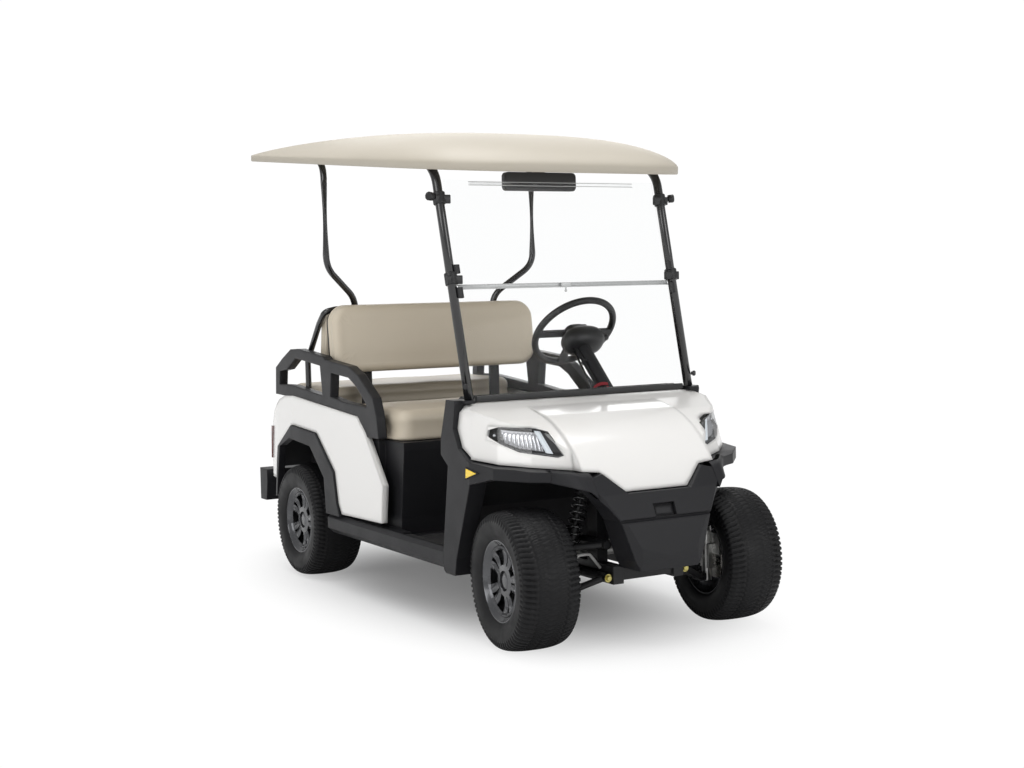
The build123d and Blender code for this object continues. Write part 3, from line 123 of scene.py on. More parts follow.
for box_name, place, aim, width, height, watts in BOXES:
    lamp = bpy.data.lights.new(box_name, "AREA")
    lamp.shape = "RECTANGLE"
    lamp.size, lamp.size_y, lamp.energy = width, height, watts
    softbox = bpy.data.objects.new(box_name, lamp)
    softbox.location = place
    softbox.rotation_euler = (Vector(aim) - Vector(place)).to_track_quat("-Z", "Y").to_euler()
    scene.collection.objects.link(softbox)

world = bpy.data.worlds.new("studio air")
world.use_nodes = True
air = world.node_tree
seen_air = add(air, "LightPath", {}, "Is Camera Ray")
seen = add(air, "MapRange", {"Value": seen_air, "To Min": AIR, "To Max": AIR_BEHIND})
put(air, air.nodes["Background"], {"Strength": seen, "Color": (1, 1, 1, 1)})
scene.world = world
scene.view_settings.view_transform = "Standard"

# -------- camera
# A long lens at chest height off the right front corner, turned 30 degrees from the cart's own line.
CAMERA_PLACE = (5.34541, -2.9151, 1.19592)
CAMERA_YAW, CAMERA_PITCH, CAMERA_ROLL = (math.radians(a) for a in (149.5561, -3.56678, -1.21701))
CAMERA_LENS = 54.819
CAMERA_SHIFT = (-0.01501, -0.00653)

ahead = Vector((math.cos(CAMERA_PITCH) * math.cos(CAMERA_YAW), math.cos(CAMERA_PITCH) * math.sin(CAMERA_YAW),
    math.sin(CAMERA_PITCH)))
level = Vector((math.sin(CAMERA_YAW), -math.cos(CAMERA_YAW), 0))
above = level.cross(ahead)
rightward = level * math.cos(CAMERA_ROLL) + above * math.sin(CAMERA_ROLL)
upward = above * math.cos(CAMERA_ROLL) - level * math.sin(CAMERA_ROLL)
camera = bpy.data.objects.new("camera", bpy.data.cameras.new("camera"))
camera.matrix_world = Matrix.Translation(CAMERA_PLACE) @ Matrix((rightward, upward,
    -ahead)).transposed().to_4x4()
camera.data.sensor_width, camera.data.lens = 36, CAMERA_LENS
camera.data.shift_x, camera.data.shift_y = CAMERA_SHIFT
scene.collection.objects.link(camera)
scene.camera = camera

# -------- frame and underside
# A ladder of welded box section with the suspension arms, springs and axle bolted under it.
# The steel is sand-blasted and powder coated in satin black, slightly pebbled like an orange skin.
FRAME_BLACK = (0.012, 0.012, 0.013)
FRAME_ROUGH = 0.42


def finish(name, colour, rough, metal=0.0, edge=0.0, grain=None, cells=None, mottle=(0.06, 0.12),
        rough_spread=0.08, coat=(0.0, 0.04), shine=0.5):
    """A surface whose colour drifts by a share over a length, the two values of mottle, and whose
    roughness drifts with it. grain and cells are a fine relief's height and size: soft noise for paint,
    rounded cells for moulded plastic and vinyl. edge is the radius at which sharp corners catch the light,
    coat the clear coat's weight and roughness, and shine the strength of what the surface mirrors."""
    material = bpy.data.materials.new(name)
    material.use_nodes = True
    tree = material.node_tree
    shader = tree.nodes["Principled BSDF"]
    place = add(tree, "TexCoord", {}, "Object")
    drift = add(tree, "TexNoise", {"Vector": place, "Scale": 1 / mottle[1], "Detail": 5}, "Fac")
    pale, deep = ((*(min(1, c * (1 + way * mottle[0])) for c in colour), 1) for way in (1, -1))
    tint = add(tree, "Mix", {"A": deep, "B": pale, "Factor": drift}, "Result", data_type="RGBA")
    least, most = max(0.02, rough * (1 - rough_spread)), min(1, rough * (1 + rough_spread))
    gloss = add(tree, "MapRange", {"Value": drift, "From Min": 0.3, "From Max": 0.7, "To Min": least,
        "To Max": most})
    put(tree, shader, {"Base Color": tint, "Roughness": gloss, "Metallic": metal, "Specular IOR Level": shine,
        "Coat Weight": coat[0], "Coat Roughness": coat[1]})
    rounded = {}
    if edge:
        rounded = {"Normal": add(tree, "Bevel", {"Radius": edge}, samples=4)}
        put(tree, shader, {"Coat Normal": rounded["Normal"], **rounded})
    if grain or cells:
        height, size = grain or cells
        relief = add(tree, "TexVoronoi" if cells else "TexNoise", {"Vector": place, "Scale": 1 / size},
            "Distance" if cells else "Fac")
        put(tree, shader, {"Normal": add(tree, "Bump", {"Height": relief, "Distance": height, **rounded})})
    return material


def paint(material, *node_names):
    """Put one finish over carried-over parts of the cart."""
    for node_name in node_names:
        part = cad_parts[node_name].data
        part.materials.clear()
        part.materials.append(material)


def quads(rows, cols, wrap_rows=False, wrap_cols=False):
    """Faces between neighbours of a grid numbered row by row; wrapped ways join last to first."""
    r = np.arange(rows if wrap_rows else rows - 1)[:, None]
    c = np.arange(cols if wrap_cols else cols - 1)[None, :]
    r_next, c_next = (r + 1) % rows, (c + 1) % cols
    return np.stack([r * cols + c, r_next * cols + c, r_next * cols + c_next, r * cols + c_next],
        -1).reshape(-1, 4)


def sheet(grid, wrap_rows=False, wrap_cols=False):
    """The shape of a grid of places: its points, and the faces between neighbours."""
    return grid, quads(*grid.shape[:2], wrap_rows, wrap_cols)


def piece(name, shape, material, body="chassis", smooth=True, sharp=None):
    """A mesh piece from a shape, its points in metres and its faces, with finish, material slot and body.
    Doubled points are merged and the faces are turned outwards. Edges where two faces meet at more than
    sharp degrees stay crisp."""
    mesh = bpy.data.meshes.new(name)
    points, faces = shape
    mesh.from_pydata(np.asarray(points, float).reshape(-1, 3).tolist(), [],
        [list(map(int, f)) for f in faces])
    shell = bmesh.new()
    shell.from_mesh(mesh)
    bmesh.ops.remove_doubles(shell, verts=shell.verts, dist=1e-6)
    bmesh.ops.recalc_face_normals(shell, faces=shell.faces)
    if sharp:
        shell.normal_update()
        for edge in shell.edges:
            edge.smooth = edge.calc_face_angle(0) < math.radians(sharp)
    shell.to_mesh(mesh)
    shell.free()
    mesh.polygons.foreach_set("use_smooth", [smooth] * len(mesh.polygons))
    mesh.materials.append(material)
    thing = bpy.data.objects.new(name, mesh)
    scene.collection.objects.link(thing)
    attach(thing, body)
    return thing


def unit(ways):
    """Directions at length one."""
    ways = np.asarray(ways, float)
    return ways / np.linalg.norm(ways, axis=-1, keepdims=True)


def circle(steps):
    """Angles once round."""
    return np.linspace(0, 2 * math.pi, steps, endpoint=False)


def ring(radius, steps=12):
    """A round section of a tube or rod: points (sideways, up) once round."""
    turn = circle(steps)
    return radius * np.stack([np.cos(turn), np.sin(turn)], 1)


def swept(path, section, above=(0, 0, 1)):
    """Places of a section carried along a path, each copy square to the path: sideways is the path's
    direction crossed with above, and up is square to both. A section may differ from point to point."""
    path, section = np.asarray(path, float), np.asarray(section, float)
    ahead = unit(np.gradient(path, axis=0))
    sideways = unit(np.cross(ahead, above))
    up = np.cross(sideways, ahead)
    section = np.broadcast_to(section, (len(path), *section.shape[-2:]))
    return path[:, None] + section[..., :1] * sideways[:, None] + section[..., 1:] * up[:, None]


def tube_faces(rows, cols):
    """Faces of a carried section with both ends closed by one flat face."""
    return [*quads(rows, cols, wrap_cols=True).tolist(), list(range(cols)),
        list(range((rows - 1) * cols, rows * cols))]


def gathered(parts):
    """Several carried sections as one mesh: (points, faces), numbered one after the other."""
    points, faces, start = [], [], 0
    for grid in parts:
        rows, cols = grid.shape[:2]
        points.append(grid.reshape(-1, 3))
        faces += [[start + i for i in face] for face in tube_faces(rows, cols)]
        start += rows * cols
    return np.concatenate(points), faces


def lathe(foot, along, profile, steps=32):
    """A turned piece standing on foot along a direction, from a profile of (distance, radius)."""
    foot, along = np.asarray(foot, float), unit(along)
    aside = unit(np.cross(along, (1, 0, 0) if abs(along[0]) < 0.8 else (0, 1, 0)))
    other = np.cross(along, aside)
    turn = circle(steps)
    round_way = np.cos(turn)[:, None] * aside + np.sin(turn)[:, None] * other
    distance, radius = np.array(profile, float).T
    return foot + distance[:, None, None] * along + radius[:, None, None] * round_way[None]


powder_coat = finish("satin powder coat", FRAME_BLACK, FRAME_ROUGH, edge=0.002, grain=(0.00012, 0.0016),
    coat=(0.1, 0.25), shine=0.3)
cast_steel = finish("zinc plated steel", (0.42, 0.42, 0.41), 0.34, metal=1.0, edge=0.001,
    grain=(0.00008, 0.0011), mottle=(0.16, 0.03), rough_spread=0.3)
paint(powder_coat, "chassis_frame", "suspension_arms", "seat_frame", "rear_axle", "rear_springs", "pedals")
paint(cast_steel, "steering_rack", "tie_rods", "knuckle_right", "knuckle_left")

# The front spring legs: a gas damper with a pressed cup at each end and a coil of gloss black wire round it.
LEG_TOP, LEG_FOOT, LEG_X = (0.1563, 0.556), (0.262, 0.196), 1.026  # y, z of the eyes
COIL_TURNS, COIL_R, WIRE_R = 8.5, 0.0245, 0.0046
COIL_FROM, COIL_TO = 0.27, 0.81  # share of the leg's length
gloss_wire = finish("gloss black spring wire", (0.01, 0.01, 0.011), 0.16, coat=(1.0, 0.05),
    mottle=(0.2, 0.01))
leg_parts, coil_parts = [], []
for side in (-1, 1):
    foot, top = (np.array([LEG_X, side * y, z]) for y, z in (LEG_FOOT, LEG_TOP))
    along, leg = unit(top - foot), np.linalg.norm(top - foot)
    leg_parts.append(lathe(foot, along, [(0.006, 0.007), (0.014, 0.0165), (0.1, 0.017), (0.104, 0.0285),
        (0.108, 0.0285), (0.109, 0.0175), (leg * 0.52, 0.017), (leg * 0.53, 0.0075), (leg * 0.8, 0.0075),
        (leg * 0.81, 0.028), (leg * 0.825, 0.028), (leg * 0.84, 0.01), (leg - 0.008, 0.008)]))
    leg_parts += [lathe(end - (0.018, 0, 0), (1, 0, 0), [(0, 0.006), (0, 0.014), (0.001, 0.015),
        (0.035, 0.015), (0.036, 0.014), (0.036, 0.006)]) for end in (foot, top)]
    share = np.linspace(0, 1, int(COIL_TURNS * 22))
    wound = 2 * math.pi * COIL_TURNS * share
    centred = 2 * share - 1
    rise = leg * (COIL_FROM + (COIL_TO - COIL_FROM) * (0.5 + 0.5 * (1.04 * centred - 0.04 * centred ** 3)))
    aside, other = np.array([1.0, 0, 0]), np.cross(along, (1.0, 0, 0))
    round_leg = np.cos(wound)[:, None] * aside + np.sin(wound)[:, None] * other
    coil_path = foot + rise[:, None] * along + COIL_R * round_leg
    coil_parts.append(swept(coil_path, ring(WIRE_R, 8), along))
dampers = piece("front_dampers", gathered(leg_parts), powder_coat, sharp=40)
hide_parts("coilovers")
piece("front_coils", gathered(coil_parts), gloss_wire)

# Yellow zinc bolts through the pivot tubes of the lower arms, with hexagon heads and washers.
PIVOT_Y, PIVOT_FRONT_X, PIVOT_REAR_X, PIVOT_Z = 0.1543, 1.139, 0.913, 0.222
yellow_zinc = finish("yellow zinc bolt", (0.5, 0.44, 0.16), 0.3, metal=1.0, mottle=(0.2, 0.004))
WASHER, HEXAGON = [(0, 0.0135), (0.002, 0.0135)], [(0.002, 0.0098), (0.0085, 0.0098), (0.01, 0.0082)]
heads = [lathe((x, side * PIVOT_Y, PIVOT_Z), (way, 0, 0), profile, steps) for side in (-1, 1)
    for x, way in ((PIVOT_FRONT_X, 1), (PIVOT_REAR_X, -1)) for profile, steps in ((WASHER, 24), (HEXAGON, 6))]
piece("pivot_bolts", gathered(heads), yellow_zinc, smooth=False)

# Brake hoses: reinforced rubber in a pale grey sleeve, clipped to the nose rail.
hose_grey = finish("grey hose sleeve", (0.44, 0.44, 0.43), 0.36, mottle=(0.1, 0.01), coat=(0.3, 0.2))
paint(hose_grey, "brake_hoses")

# -------- wheels
# Low turf tyres of carbon-black rubber, moulded with notched shoulder blocks, on cast alloy wheels.
# The wheels are painted gunmetal under clear lacquer: five pairs of spokes with a narrow slot in each.
TYRE_R, SIDEWALL_HALF = 0.2295, 0.102
SHOULDER_R, RIM_EDGE_R = 0.1985, 0.1345
PITCHES, STEPS = 76, 7  # tread blocks round the tyre, grid steps to a block
GROOVE_DEPTH, SIPE_DEPTH, LUG_DEPTH, ZIGZAG = 0.005, 0.003, 0.0072, 0.0042
GROOVES = ((0.017, 0.0022), (0.05, 0.0028))  # place off the middle, half width
WHEEL_SIDES = {"front_right": -1, "front_left": 1, "rear_right": -1, "rear_left": 1}
AXLE_Z, STEER_REST = 0.23, math.radians(-5.5)
KINGPIN_X, KINGPIN_Y, FRONT_HUB_Y, REAR_HUB_Y = 1.026, 0.33, 0.4015, 0.4175
RIM_SHARE = 0.885  # a ten inch rim, against the turned shapes below
SPOKE_FACE_R = (0.032, 0.052, 0.066, 0.084, 0.1, 0.108, 0.1155)
SPOKE_FACE_OUT = (0.064, 0.0615, 0.06, 0.06, 0.064, 0.068, 0.077)
SPOKE_T = 0.0085


def soft_bar(width, height, radius, corner_steps=3):
    """A rectangular section with rounded corners, each a quarter circle off its own middle."""
    turn = (np.arange(4)[:, None] + np.linspace(0, 1, corner_steps)[None, :]) * math.pi / 2
    sign = np.array([[1, 1], [-1, 1], [-1, -1], [1, -1]])[:, None, :]
    middle = sign * (np.array([width, height]) / 2 - radius)
    return (middle + radius * np.stack([np.cos(turn), np.sin(turn)], -1)).reshape(-1, 2)


def signed_power(value, exponent):
    """The size of a value to an exponent, with the value's sign."""
    return np.sign(value) * np.abs(value) ** exponent


def groove(offset, half, ramp=0.0016):
    """1 on a groove's floor and 0 outside it, with sloped walls; offset is the distance from its middle."""
    return np.clip((half - np.abs(offset)) / ramp, 0, 1)


def tyre_surface():
    """Radius and outward place of the tyre over angle (rows) and section (columns).
    The crown is a superellipse from shoulder to shoulder, the walls bulge below it, and the tread is
    cut into it: two zigzag grooves each side, slanted sipes, and notches that run over the shoulder."""
    angle = circle(PITCHES * STEPS)[:, None]
    crown = np.linspace(-math.pi / 2, math.pi / 2, 61)
    out_crown = SIDEWALL_HALF * signed_power(np.sin(crown), 0.82)
    r_crown = SHOULDER_R + (TYRE_R - SHOULDER_R) * np.abs(np.cos(crown)) ** 0.62
    wall = np.linspace(0, 1, 13)[1:]
    r_wall = SHOULDER_R + (RIM_EDGE_R - SHOULDER_R) * wall
    out_wall = SIDEWALL_HALF + 0.0012 * np.sin(wall * 2.2) - 0.0135 * wall ** 2.6
    out = np.concatenate([-out_wall[::-1], out_crown, out_wall])[None, :]
    r = np.concatenate([r_wall[::-1], r_crown, r_wall])[None, :]
    pitch = angle * PITCHES / (2 * math.pi)
    zigzag = ZIGZAG * (np.abs((pitch % 1) * 2 - 1) * 2 - 1)
    side = np.sign(out)
    cut = np.zeros((angle.size, out.size))
    for middle, half in GROOVES:
        cut = np.maximum(cut, GROOVE_DEPTH * groove(np.abs(out) - middle - zigzag * side, half, 0.0024))
    slant = (pitch + out * 16) % 0.5 / 0.5
    sipe = ((slant > 0.06) & (slant < 0.26)) * (np.abs(out) < 0.045)
    cut = np.maximum(cut, SIPE_DEPTH * sipe)
    bent = (pitch - 9.0 * (np.abs(out) - 0.06) + 0.25 * side) % 1
    notch = (bent < 0.38) * (np.abs(out) > 0.061) * (r > SHOULDER_R - 0.0005)
    cut = np.maximum(cut, LUG_DEPTH * notch * np.clip((r - SHOULDER_R + 0.004) / 0.012, 0.25, 1))
    ridge = 0.0011 * np.exp(-((r - SHOULDER_R + 0.004) / 0.0022) ** 2)
    ridge = ridge + 0.0006 * np.exp(-((r - 0.143) / 0.0015) ** 2)
    steep = np.clip((r - SHOULDER_R) / 0.02, 0, 1)
    r_cut = r - cut * (0.35 + 0.65 * steep)
    out_cut = out - side * (cut * 0.8 * (1 - steep) - ridge * (np.abs(out) > 0.09))
    return angle + 0 * r, r_cut + 0 * angle, out_cut + 0 * angle


def spoked_face():
    """Points and faces of the wheel's face, as (along, across, outward) off its middle.
    Each fifth of a turn holds a slot and a wide window; the grid's columns follow the spokes' edges, so
    that leaving out the window quads cuts clean openings. The face is dished, and each spoke is creased."""
    radii, outs = np.array(SPOKE_FACE_R), np.array(SPOKE_FACE_OUT)
    fifth = 2 * math.pi / 5
    grow = np.clip((radii - 0.052) / 0.054, 0, 1)
    slot_half = (0.0036 + 0.005 * grow) / radii
    window_half = (0.013 + 0.016 * grow) / radii
    # columns over one fifth: slot edge, spoke's three lines, window edge, window's other edge, spoke, slot
    window_mid = fifth / 2
    near, far = window_mid - window_half, window_mid + window_half
    lines = [slot_half, slot_half * 0.55 + near * 0.45, near, window_mid + 0 * radii, far,
        (fifth - slot_half) * 0.55 + far * 0.45, fifth - slot_half, fifth + 0 * radii]
    crease = np.array([0, 1, 0, 0, 0, 1, 0, 0]) * 0.0055
    turn = np.concatenate([np.stack(lines, 1) + k * fifth for k in range(5)], 1)
    lift = np.tile(crease, 5)[None, :] * np.sin(grow * math.pi)[:, None] ** 0.7 + outs[:, None]
    ring = radii[:, None]
    points = np.stack([ring * np.cos(turn), ring * np.sin(turn), lift], -1)
    faces = quads(len(radii), turn.shape[1], wrap_cols=True)
    row, col = faces[:, 0] // turn.shape[1], faces[:, 0] % turn.shape[1] % 8
    open_rows = (row >= 1) & (row <= 4)
    open_cols = np.isin(col, (2, 3, 6, 7))
    return points, faces[~(open_rows & open_cols)]


def turned_profile(profile, steps=96):
    """Points of a profile of (radius, outward) turned once round the wheel's middle, at the rim's share."""
    ring = circle(steps)[:, None]
    r, out = np.array(profile).T
    r = r * RIM_SHARE
    return np.stack([np.cos(ring) * r, np.sin(ring) * r, out + 0 * ring], -1)


rubber = finish("tyre rubber", (0.007, 0.007, 0.0078), 0.46, grain=(0.00005, 0.0009), mottle=(0.2, 0.05),
    rough_spread=0.2, shine=0.24)
alloy = finish("gunmetal lacquered alloy", (0.085, 0.087, 0.093), 0.25, metal=0.85, coat=(0.6, 0.05),
    grain=(0.000003, 0.004), mottle=(0.03, 0.05))
machined = finish("turned steel disc", (0.4, 0.39, 0.37), 0.3, metal=1.0, mottle=(0.25, 0.02),
    rough_spread=0.35)

tyre_angle, tyre_r, tyre_out = tyre_surface()
tyre_grid = np.stack([tyre_r * np.cos(tyre_angle), tyre_r * np.sin(tyre_angle), tyre_out], -1)
face_points, face_faces = spoked_face()
# behind the spokes the well is wider, which leaves room for the tie rod's end at full lock
barrel = turned_profile([(0.1458, -0.089), (0.15, -0.089), (0.15, -0.085), (0.1497, -0.0815), (0.1497, 0.025),
    (0.138, 0.04), (0.138, 0.0815), (0.15, 0.0845), (0.1508, 0.089), (0.147, 0.0892), (0.144, 0.086),
    (0.135, 0.08), (0.1305, 0.076), (0.129, 0.065), (0.129, 0.04), (0.1458, 0.025)])
cap = turned_profile([(0.0, 0.07), (0.018, 0.0698), (0.029, 0.068), (0.0325, 0.0655), (0.0335, 0.06),
    (0.0, 0.06)], 48)
hub = turned_profile([(0.0, 0.055), (0.045, 0.055), (0.046, 0.03), (0.047, -0.03), (0.016, -0.03)], 48)

disc = turned_profile([(0.045, -0.04), (0.092, -0.04), (0.0925, -0.0395), (0.0925, -0.0325), (0.092, -0.032),
    (0.045, -0.032)])
CALIPER_TURN, CALIPER_R = np.radians(np.linspace(-32, 32, 15)), 0.078
caliper_path = np.stack([CALIPER_R * np.cos(CALIPER_TURN), CALIPER_R * np.sin(CALIPER_TURN),
    0 * CALIPER_TURN - 0.036], 1)
taper = 1 - 0.25 * np.abs(np.linspace(-1, 1, 15)) ** 4
caliper_shape = soft_bar(0.038, 0.034, 0.006) * taper[:, None, None]
caliper = swept(caliper_path, caliper_shape)

for wheel, sign in WHEEL_SIDES.items():
    low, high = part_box("rim_" + wheel)
    turn_angle = STEER_REST if wheel.startswith("front") else 0.0
    outward = np.array([-sign * math.sin(turn_angle), sign * math.cos(turn_angle), 0])
    hub_middle = np.array([(low.x + high.x) / 2, (low.y + high.y) / 2, AXLE_Z])
    if wheel.startswith("front"):
        hub_middle[:2] = np.array([KINGPIN_X, sign * KINGPIN_Y]) + (FRONT_HUB_Y - KINGPIN_Y) * outward[:2]
    else:
        hub_middle[1] = sign * REAR_HUB_Y
    up = np.array([0, 0, 1.0])
    wheel_axes = np.stack([np.cross(up, outward), up, outward])

    def placed(local):
        """Wheel coordinates (along, up, outward) as places in the cart."""
        return local @ wheel_axes + hub_middle

    tyre = piece("tread_" + wheel, sheet(placed(tyre_grid), True, True), rubber,
        "wheel_" + wheel)
    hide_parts("tyre_" + wheel)
    spokes = piece("spokes_" + wheel, (placed(face_points), face_faces), alloy, "wheel_" + wheel,
        smooth=False)
    thick = spokes.modifiers.new("wall", "SOLIDIFY")
    thick.thickness, thick.offset = SPOKE_T, -1
    soft = spokes.modifiers.new("cast edges", "BEVEL")
    soft.width, soft.segments, soft.limit_method, soft.angle_limit = 0.0012, 2, "ANGLE", math.radians(28)
    piece("barrel_" + wheel, sheet(placed(barrel), True, True), alloy, "wheel_" + wheel, sharp=30)
    piece("cap_" + wheel, sheet(placed(cap), True, True), alloy, "wheel_" + wheel, sharp=40)
    piece("hub_" + wheel, sheet(placed(hub), True), machined, "wheel_" + wheel)
    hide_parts("rim_" + wheel)
    piece("disc_" + wheel, sheet(placed(disc), True, True), machined, "wheel_" + wheel, sharp=30)
    if wheel.startswith("front"):
        piece("caliper_" + wheel, gathered([placed(caliper)]), cast_steel, "knuckle_" + wheel[6:],
            sharp=40)

# -------- body panels
# Injection-moulded panels: the cowl and the rear sides in gloss white, sprayed and clear-coated;
# the wheel visors, bumpers, sills and seat box in grained charcoal polypropylene, left as moulded.
PAINT_WHITE, CHARCOAL = (0.83, 0.82, 0.8), (0.0145, 0.0145, 0.0165)
gloss_white = finish("gloss white paint", PAINT_WHITE, 0.34, edge=0.022, mottle=(0.006, 0.12),
    coat=(1.0, 0.1), grain=(0.00002, 0.004))
charcoal = finish("charcoal moulded plastic", CHARCOAL, 0.44, edge=0.006, cells=(0.0001, 0.0011),
    mottle=(0.1, 0.12), rough_spread=0.12, shine=0.26)
rounded_charcoal = finish("charcoal armrest moulding", CHARCOAL, 0.42, edge=0.011, cells=(0.0001, 0.0011),
    mottle=(0.1, 0.12), rough_spread=0.12, shine=0.32)
paint(gloss_white, "front_cowl", "rear_panels")
paint(charcoal, "front_fenders", "front_bumper", "sills", "rear_arches", "seat_base", "rear_body",
    "rear_bumper", "floor_pan", "dash")
paint(rounded_charcoal, "armrests")

# A ribbed rubber mat lies in the footwell, and strips of the same rubber in the two step recesses.
MAT_X, MAT_HALF, MAT_RIB = (0.262, 0.545), 0.404, 0.0095
STEP_X, STEP_Y, STEP_TOP = (0.2865, 0.5735), (0.4445, 0.479), 0.2846
mat_rubber = finish("ribbed mat rubber", (0.014, 0.014, 0.015), 0.62, grain=(0.00008, 0.001),
    mottle=(0.15, 0.12))


def ribbed(x_range, y_range, base, height, rib):
    """A mat as a grid over x and y: its top rises in round ribs, |sin|, that run across the cart, and its rim
    falls to the floor."""
    x = np.linspace(*x_range, int((x_range[1] - x_range[0]) / rib * 8) + 1)[:, None]
    y = np.linspace(*y_range, 25)[None, :]
    rib_top = np.abs(np.sin(math.pi * (x - x_range[0]) / rib)) ** 0.6
    inset = np.minimum(np.minimum(x - x_range[0], x_range[1] - x), np.minimum(y - y_range[0], y_range[1] - y))
    top = base + height * (0.35 + 0.65 * rib_top) * np.clip(inset / 0.0015, 0, 1)
    return np.stack([x + 0 * y, y + 0 * x, top], -1)


for mat_name, *mat in (
    # name, reach in x and in y, height of the floor under it, thickness
    ("floor_mat", MAT_X, (-MAT_HALF, MAT_HALF), 0.2702, 0.0042),
    ("step_mat_right", STEP_X, (-STEP_Y[1], -STEP_Y[0]), STEP_TOP - 0.0004, 0.0035),
    ("step_mat_left", STEP_X, STEP_Y, STEP_TOP - 0.0004, 0.0035),
):
    piece(mat_name, sheet(ribbed(*mat, MAT_RIB)), mat_rubber)

# -------- lamps and reflectors
# Headlamps: a black housing let into the cowl, a ribbed reflector and a bright light bar in it, a small
# turning lamp in the outer corner, and a clear polycarbonate cover flush with the paint.
NOSE_Z = (0.4, 0.8)
NOSE_LOW = ((0, 1.197), (0.12, 1.191), (0.217, 1.165), (0.408, 1.086), (0.492, 0.995), (0.506, 0.86))
NOSE_HIGH = ((0, 1.185), (0.11, 1.17), (0.19, 1.12), (0.345, 1.0), (0.425, 0.922), (0.478, 0.835))
LAMP_TOP = ((0.463, 0.7217), (0.35, 0.716), (0.318, 0.706))  # y, z outer to inner
LAMP_FOOT = ((0.463, 0.6794), (0.4, 0.64), (0.3, 0.622), (0.283, 0.628))
LAMP_LONG, LAMP_TALL = 0.21, 0.085
LAMP_DEPTH, LAMP_RIM, INWARD = 0.024, 0.014, (-0.68, -0.73)
FLUSH = 0.0012
TURNING_AT = (0.075, 0.6, 0.0125)  # the turning lamp: lengthways, heightwise, depth
# its turned shape: distance along, radius
TURNING = [(0, 0.0065), (0.004, 0.0065), (0.0065, 0.0052), (0.008, 0.0028), (0.0084, 0.0004)]


def nose_x(y, z):
    """How far forward the cowl's face is at a distance y from the middle and a height z: each corner of the
    nose's plan runs straight from its low place to its high one, and the plan is straight between corners."""
    share = np.clip((z - NOSE_Z[0]) / (NOSE_Z[1] - NOSE_Z[0]), 0, 1)[..., None, None]
    corners = np.array(NOSE_LOW) * (1 - share) + np.array(NOSE_HIGH) * share
    x = np.full(y.shape, 0.86)
    for k in range(len(NOSE_LOW) - 1):
        (y0, x0), (y1, x1) = np.moveaxis(corners[..., k:k + 2, :], (-2, -1), (0, 1))
        here = (y >= y0) & (y <= y1)
        x = np.where(here, x0 + (x1 - x0) * (y - y0) / (y1 - y0), x)
    return x


def along_outline(outline, share):
    """The point at a share of an outline's reach in y, outer to inner."""
    corners = np.array(outline)
    y = corners[0, 0] + (corners[-1, 0] - corners[0, 0]) * share
    return np.stack([y, np.interp(-y, -corners[:, 0], corners[:, 1])], -1)


def lamp_surface(side, lengthways, heightwise, depth):
    """Places in a headlamp: lengthways 0 to 1 from its outer tip to its inner end, heightwise 0 to 1 from
    its top to its foot, and a depth under the cowl's face."""
    top, foot = along_outline(LAMP_TOP, lengthways), along_outline(LAMP_FOOT, lengthways)
    y, z = np.moveaxis(top + (foot - top) * heightwise[..., None], -1, 0)
    return np.stack([nose_x(y, z) + INWARD[0] * depth, side * (y + INWARD[1] * depth), z], -1)


def lamp_grid(length_range, height_range, count):
    """Two grids of lengthways and heightwise shares."""
    return np.meshgrid(np.linspace(*length_range, count[0]), np.linspace(*height_range, count[1]),
        indexing="ij")


lamp_black = finish("black lamp housing", (0.02, 0.02, 0.021), 0.22, coat=(0.6, 0.08), mottle=(0.1, 0.12))
lamp_chrome = finish("vacuum-plated reflector", (0.62, 0.62, 0.64), 0.13, metal=1.0, mottle=(0.12, 0.012))
lamp_opal = finish("opal light bar", (0.8, 0.84, 0.86), 0.2, coat=(1.0, 0.05), mottle=(0.03, 0.02))
put(lamp_opal.node_tree, lamp_opal.node_tree.nodes["Principled BSDF"],
    {"Emission Color": (0.85, 0.93, 1.0, 1), "Emission Strength": 0.22})


def clear(name, tint, rough, rim, grazing=0.55):
    """A clear sheet: light goes straight through it, tinted, and a little is mirrored, more at a low angle.
    rim and grazing are the shares mirrored face on and edge on; fine swirls roughen the mirrored part."""
    material = bpy.data.materials.new(name)
    material.use_nodes = True
    tree = material.node_tree
    tree.nodes.remove(tree.nodes["Principled BSDF"])
    swirl = add(tree, "TexNoise", {"Vector": add(tree, "TexCoord", {}, "Object"), "Scale": 9}, "Fac")
    haze = add(tree, "MapRange", {"Value": swirl, "To Min": rough * 0.6, "To Max": rough * 1.5})
    low_angle = add(tree, "LayerWeight", {"Blend": 0.18}, "Fresnel")
    share = add(tree, "MapRange", {"Value": low_angle, "To Min": rim, "To Max": grazing})
    both = add(tree, "MixShader", {"Fac": share, 1: add(tree, "BsdfTransparent", {"Color": (*tint, 1)}),
        2: add(tree, "BsdfGlossy", {"Roughness": haze})})
    put(tree, tree.nodes["Material Output"], {"Surface": both})
    return material


